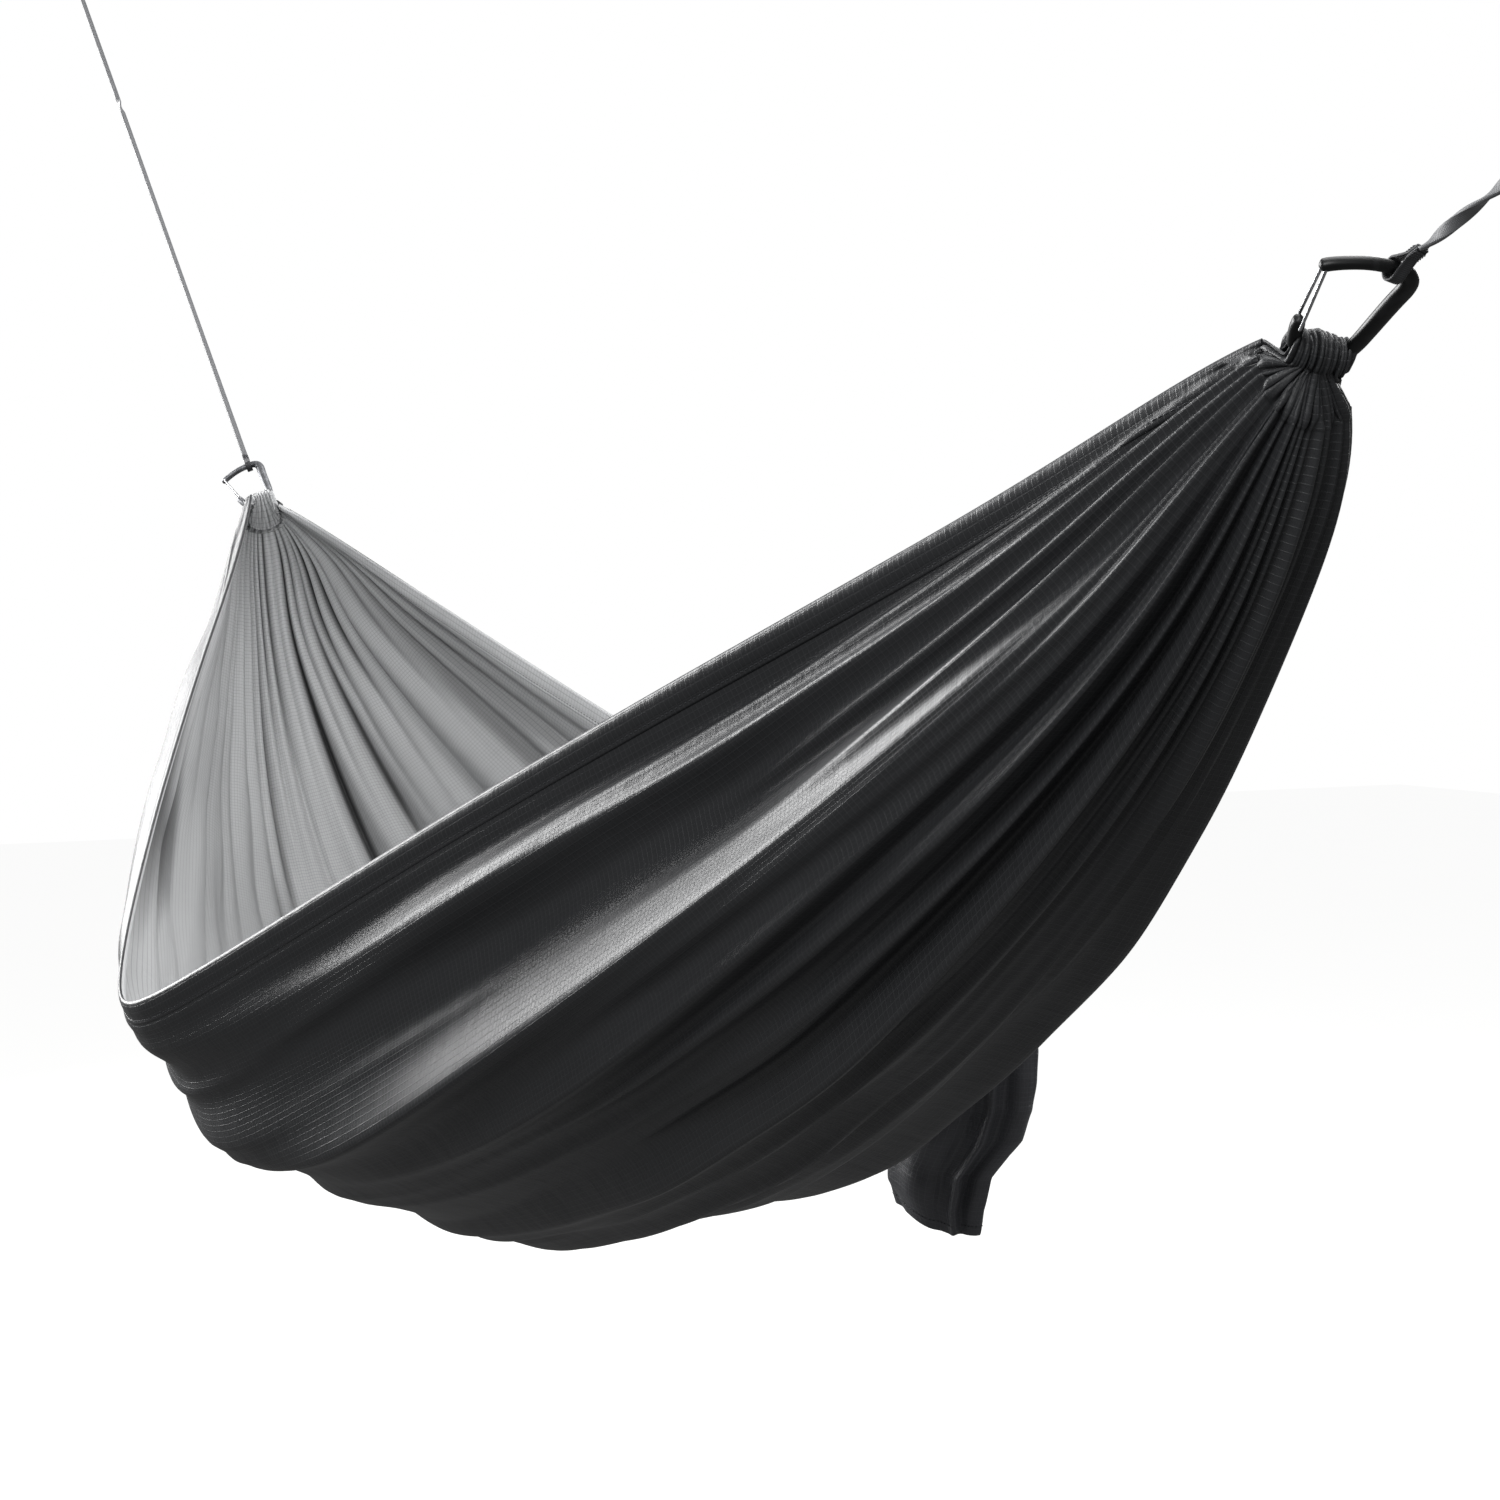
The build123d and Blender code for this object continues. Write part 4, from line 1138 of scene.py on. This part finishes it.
class HAMMOCK_OT_hardware(bpy.types.Operator):
    """Builds the forged carabiners and finishes the wire gates and the anchor rings."""

    bl_idname = "hammock.hardware"
    bl_label = "Hardware"

    def execute(self, context):
        # The foot carabiner's pale aluminium is painted light; both are taken to be the same black metal.
        for end, key in (("head", "anodised"), ("foot", "aluminium")):
            carabiner = self.carabiner(end, material(key))
            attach(carabiner, f"{end}_clip")
            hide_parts(f"{end}_carabiner")
            for node in (f"{end}_gate", f"{end}_anchor_ring"):
                mesh = frame["nodes"][node].data
                mesh.materials.clear()
                mesh.materials.append(material("steel"))
        return {"FINISHED"}

    def carabiner(self, end, finish):
        """A forged bar: an oval section along a smooth line, wide and flat at the spine and round elsewhere."""
        bar, rise, square, basket = clip_axes(end)
        line = route_line([(u, v, width) for u, v, width in FORGED_BAR], steps=10)
        flat = np.stack([line[:, 0], line[:, 1], 0 * line[:, 0]], axis=-1)
        tangent = unit(np.gradient(flat, axis=0))
        aside = np.stack([-tangent[:, 1], tangent[:, 0], tangent[:, 2]], axis=-1)
        turn = np.linspace(0, 2 * pi, 20, endpoint=False)
        a = np.sign(np.cos(turn)) * np.abs(np.cos(turn)) ** 0.85
        b = np.sign(np.sin(turn)) * np.abs(np.sin(turn)) ** 0.85
        share = np.linspace(0, 1, len(line))[:, None]
        ends = np.sqrt(smooth_step(share, -0.004, 0.022) * smooth_step(1 - share, -0.004, 0.022))
        local = (flat[:, None] + aside[:, None] * (ends * line[:, 2:] * a)[..., None]
                 + np.array((0, 0, 1.0)) * (ends * BAR_HALF_THICKNESS * b)[..., None])
        rings = (basket + (local[..., :1] - BASKET[0]) * bar + (local[..., 1:2] - BASKET[1]) * rise
                 + local[..., 2:] * np.cross(bar, rise))
        return closed_band(f"{end}_forged_bar", rings, 0.26, 0.028, finish)


# ---------------------------------------------------------------- stage
class HAMMOCK_OT_stage(bpy.types.Operator):
    """Sets the camera, the pale paper floor and the soft lights."""

    bl_idname = "hammock.stage"
    bl_label = "Stage"

    def execute(self, context):
        stage = context.scene.hammock_stage
        low, high = CAD_BOX
        camera = bpy.data.objects.new("camera", bpy.data.cameras.new("camera"))
        context.scene.collection.objects.link(camera)
        a, b = stage.azimuth, stage.pitch
        look = Vector((-sin(a) * cos(b), cos(a) * cos(b), -sin(b)))
        camera.location = Vector(stage.camera_place)
        camera.rotation_mode = "QUATERNION"
        camera.rotation_quaternion = look.to_track_quat("-Z", "Y")
        camera.data.lens = stage.lens
        camera.data.clip_start = 0.05
        camera.data.clip_end = 60
        context.scene.camera = camera
        size = 14.0
        centre = (Vector(low) + Vector(high)) / 2
        z = low.z - stage.floor_drop
        rows = np.linspace(-size, size, 9)
        x, y = np.meshgrid(rows + centre.x, rows + centre.y, indexing="ij")
        floor = surface("floor", np.stack([x, y, 0 * x + z], axis=-1)[:, ::-1],
                        flat_uv(9, 9, 2 * size, 2 * size), studio_paper("background_paper", "#8f8f8d"))
        floor.visible_diffuse = False
        floor.visible_glossy = False
        world = bpy.data.worlds.new("studio")
        world.use_nodes = True
        world.node_tree.nodes["Background"].inputs["Color"].default_value = (1, 1, 1, 1)
        backdrop = world.node_tree.nodes["Background"]
        seen = add_node(world.node_tree, "ShaderNodeLightPath")
        strength = add_node(world.node_tree, "ShaderNodeMapRange", {"Value": seen.outputs["Is Camera Ray"],
                                                                    "To Min": 0.20, "To Max": 1.0})
        world.node_tree.links.new(strength.outputs[0], backdrop.inputs["Strength"])
        context.scene.world = world
        self.softbox("overhead", centre + Vector((0.4, 0.5, 3.0)), centre, (3.0, 2.4), 115)
        self.softbox("foot_strip", centre + Vector((-3.2, -2.0, 1.1)), centre, (2.4, 2.6), 380)
        self.softbox("camera_fill", centre + Vector((2.6, -1.7, 1.3)), centre + Vector((-0.5, 0.1, 0.2)),
                     (1.4, 1.2), 48)
        self.softbox("back_strip", centre + Vector((-0.6, 3.2, 1.2)), centre, (2.4, 1.6), 110)
        context.scene.view_settings.view_transform = "Standard"
        return {"FINISHED"}

    def softbox(self, name, place, aim, size, power):
        data = bpy.data.lights.new(name, "AREA")
        data.shape = "RECTANGLE"
        data.size, data.size_y = size
        data.energy = power
        light = bpy.data.objects.new(name, data)
        light.visible_camera = False
        light.location = place
        light.rotation_mode = "QUATERNION"
        light.rotation_quaternion = (Vector(aim) - Vector(place)).to_track_quat("-Z", "Y")
        bpy.context.scene.collection.objects.link(light)


# ---------------------------------------------------------------- panel and registration
class HAMMOCK_PT_panel(bpy.types.Panel):
    """Lists the hammock's pieces and their sizes."""

    bl_label = "Camping hammock"
    bl_idname = "HAMMOCK_PT_panel"
    bl_space_type = "VIEW_3D"
    bl_region_type = "UI"
    bl_category = "Hammock"

    def draw(self, context):
        for operator in OPERATORS:
            self.layout.operator(operator.bl_idname)
        for group in (context.scene.hammock_cloth, context.scene.hammock_stage):
            box = self.layout.box()
            for name in group.bl_rna.properties.keys():
                if name not in {"rna_type", "name"}:
                    box.prop(group, name)


SETTINGS = {"hammock_cloth": ClothSettings, "hammock_stage": StageSettings}
OPERATORS = (HAMMOCK_OT_stage, HAMMOCK_OT_straps, HAMMOCK_OT_hardware, HAMMOCK_OT_bed, HAMMOCK_OT_hems,
             HAMMOCK_OT_channels, HAMMOCK_OT_sack, HAMMOCK_OT_drawcord, HAMMOCK_OT_tab)
CLASSES = (*SETTINGS.values(), *OPERATORS, HAMMOCK_PT_panel)


def register():
    for item in CLASSES:
        bpy.utils.register_class(item)
    for name, group in SETTINGS.items():
        setattr(bpy.types.Scene, name, PointerProperty(type=group))


def unregister():
    for name in SETTINGS:
        delattr(bpy.types.Scene, name)
    for item in reversed(CLASSES):
        bpy.utils.unregister_class(item)


def main():
    register()
    for operator in OPERATORS:
        group, name = operator.bl_idname.split(".")
        getattr(getattr(bpy.ops, group), name)()


if __name__ == "__main__":
    main()
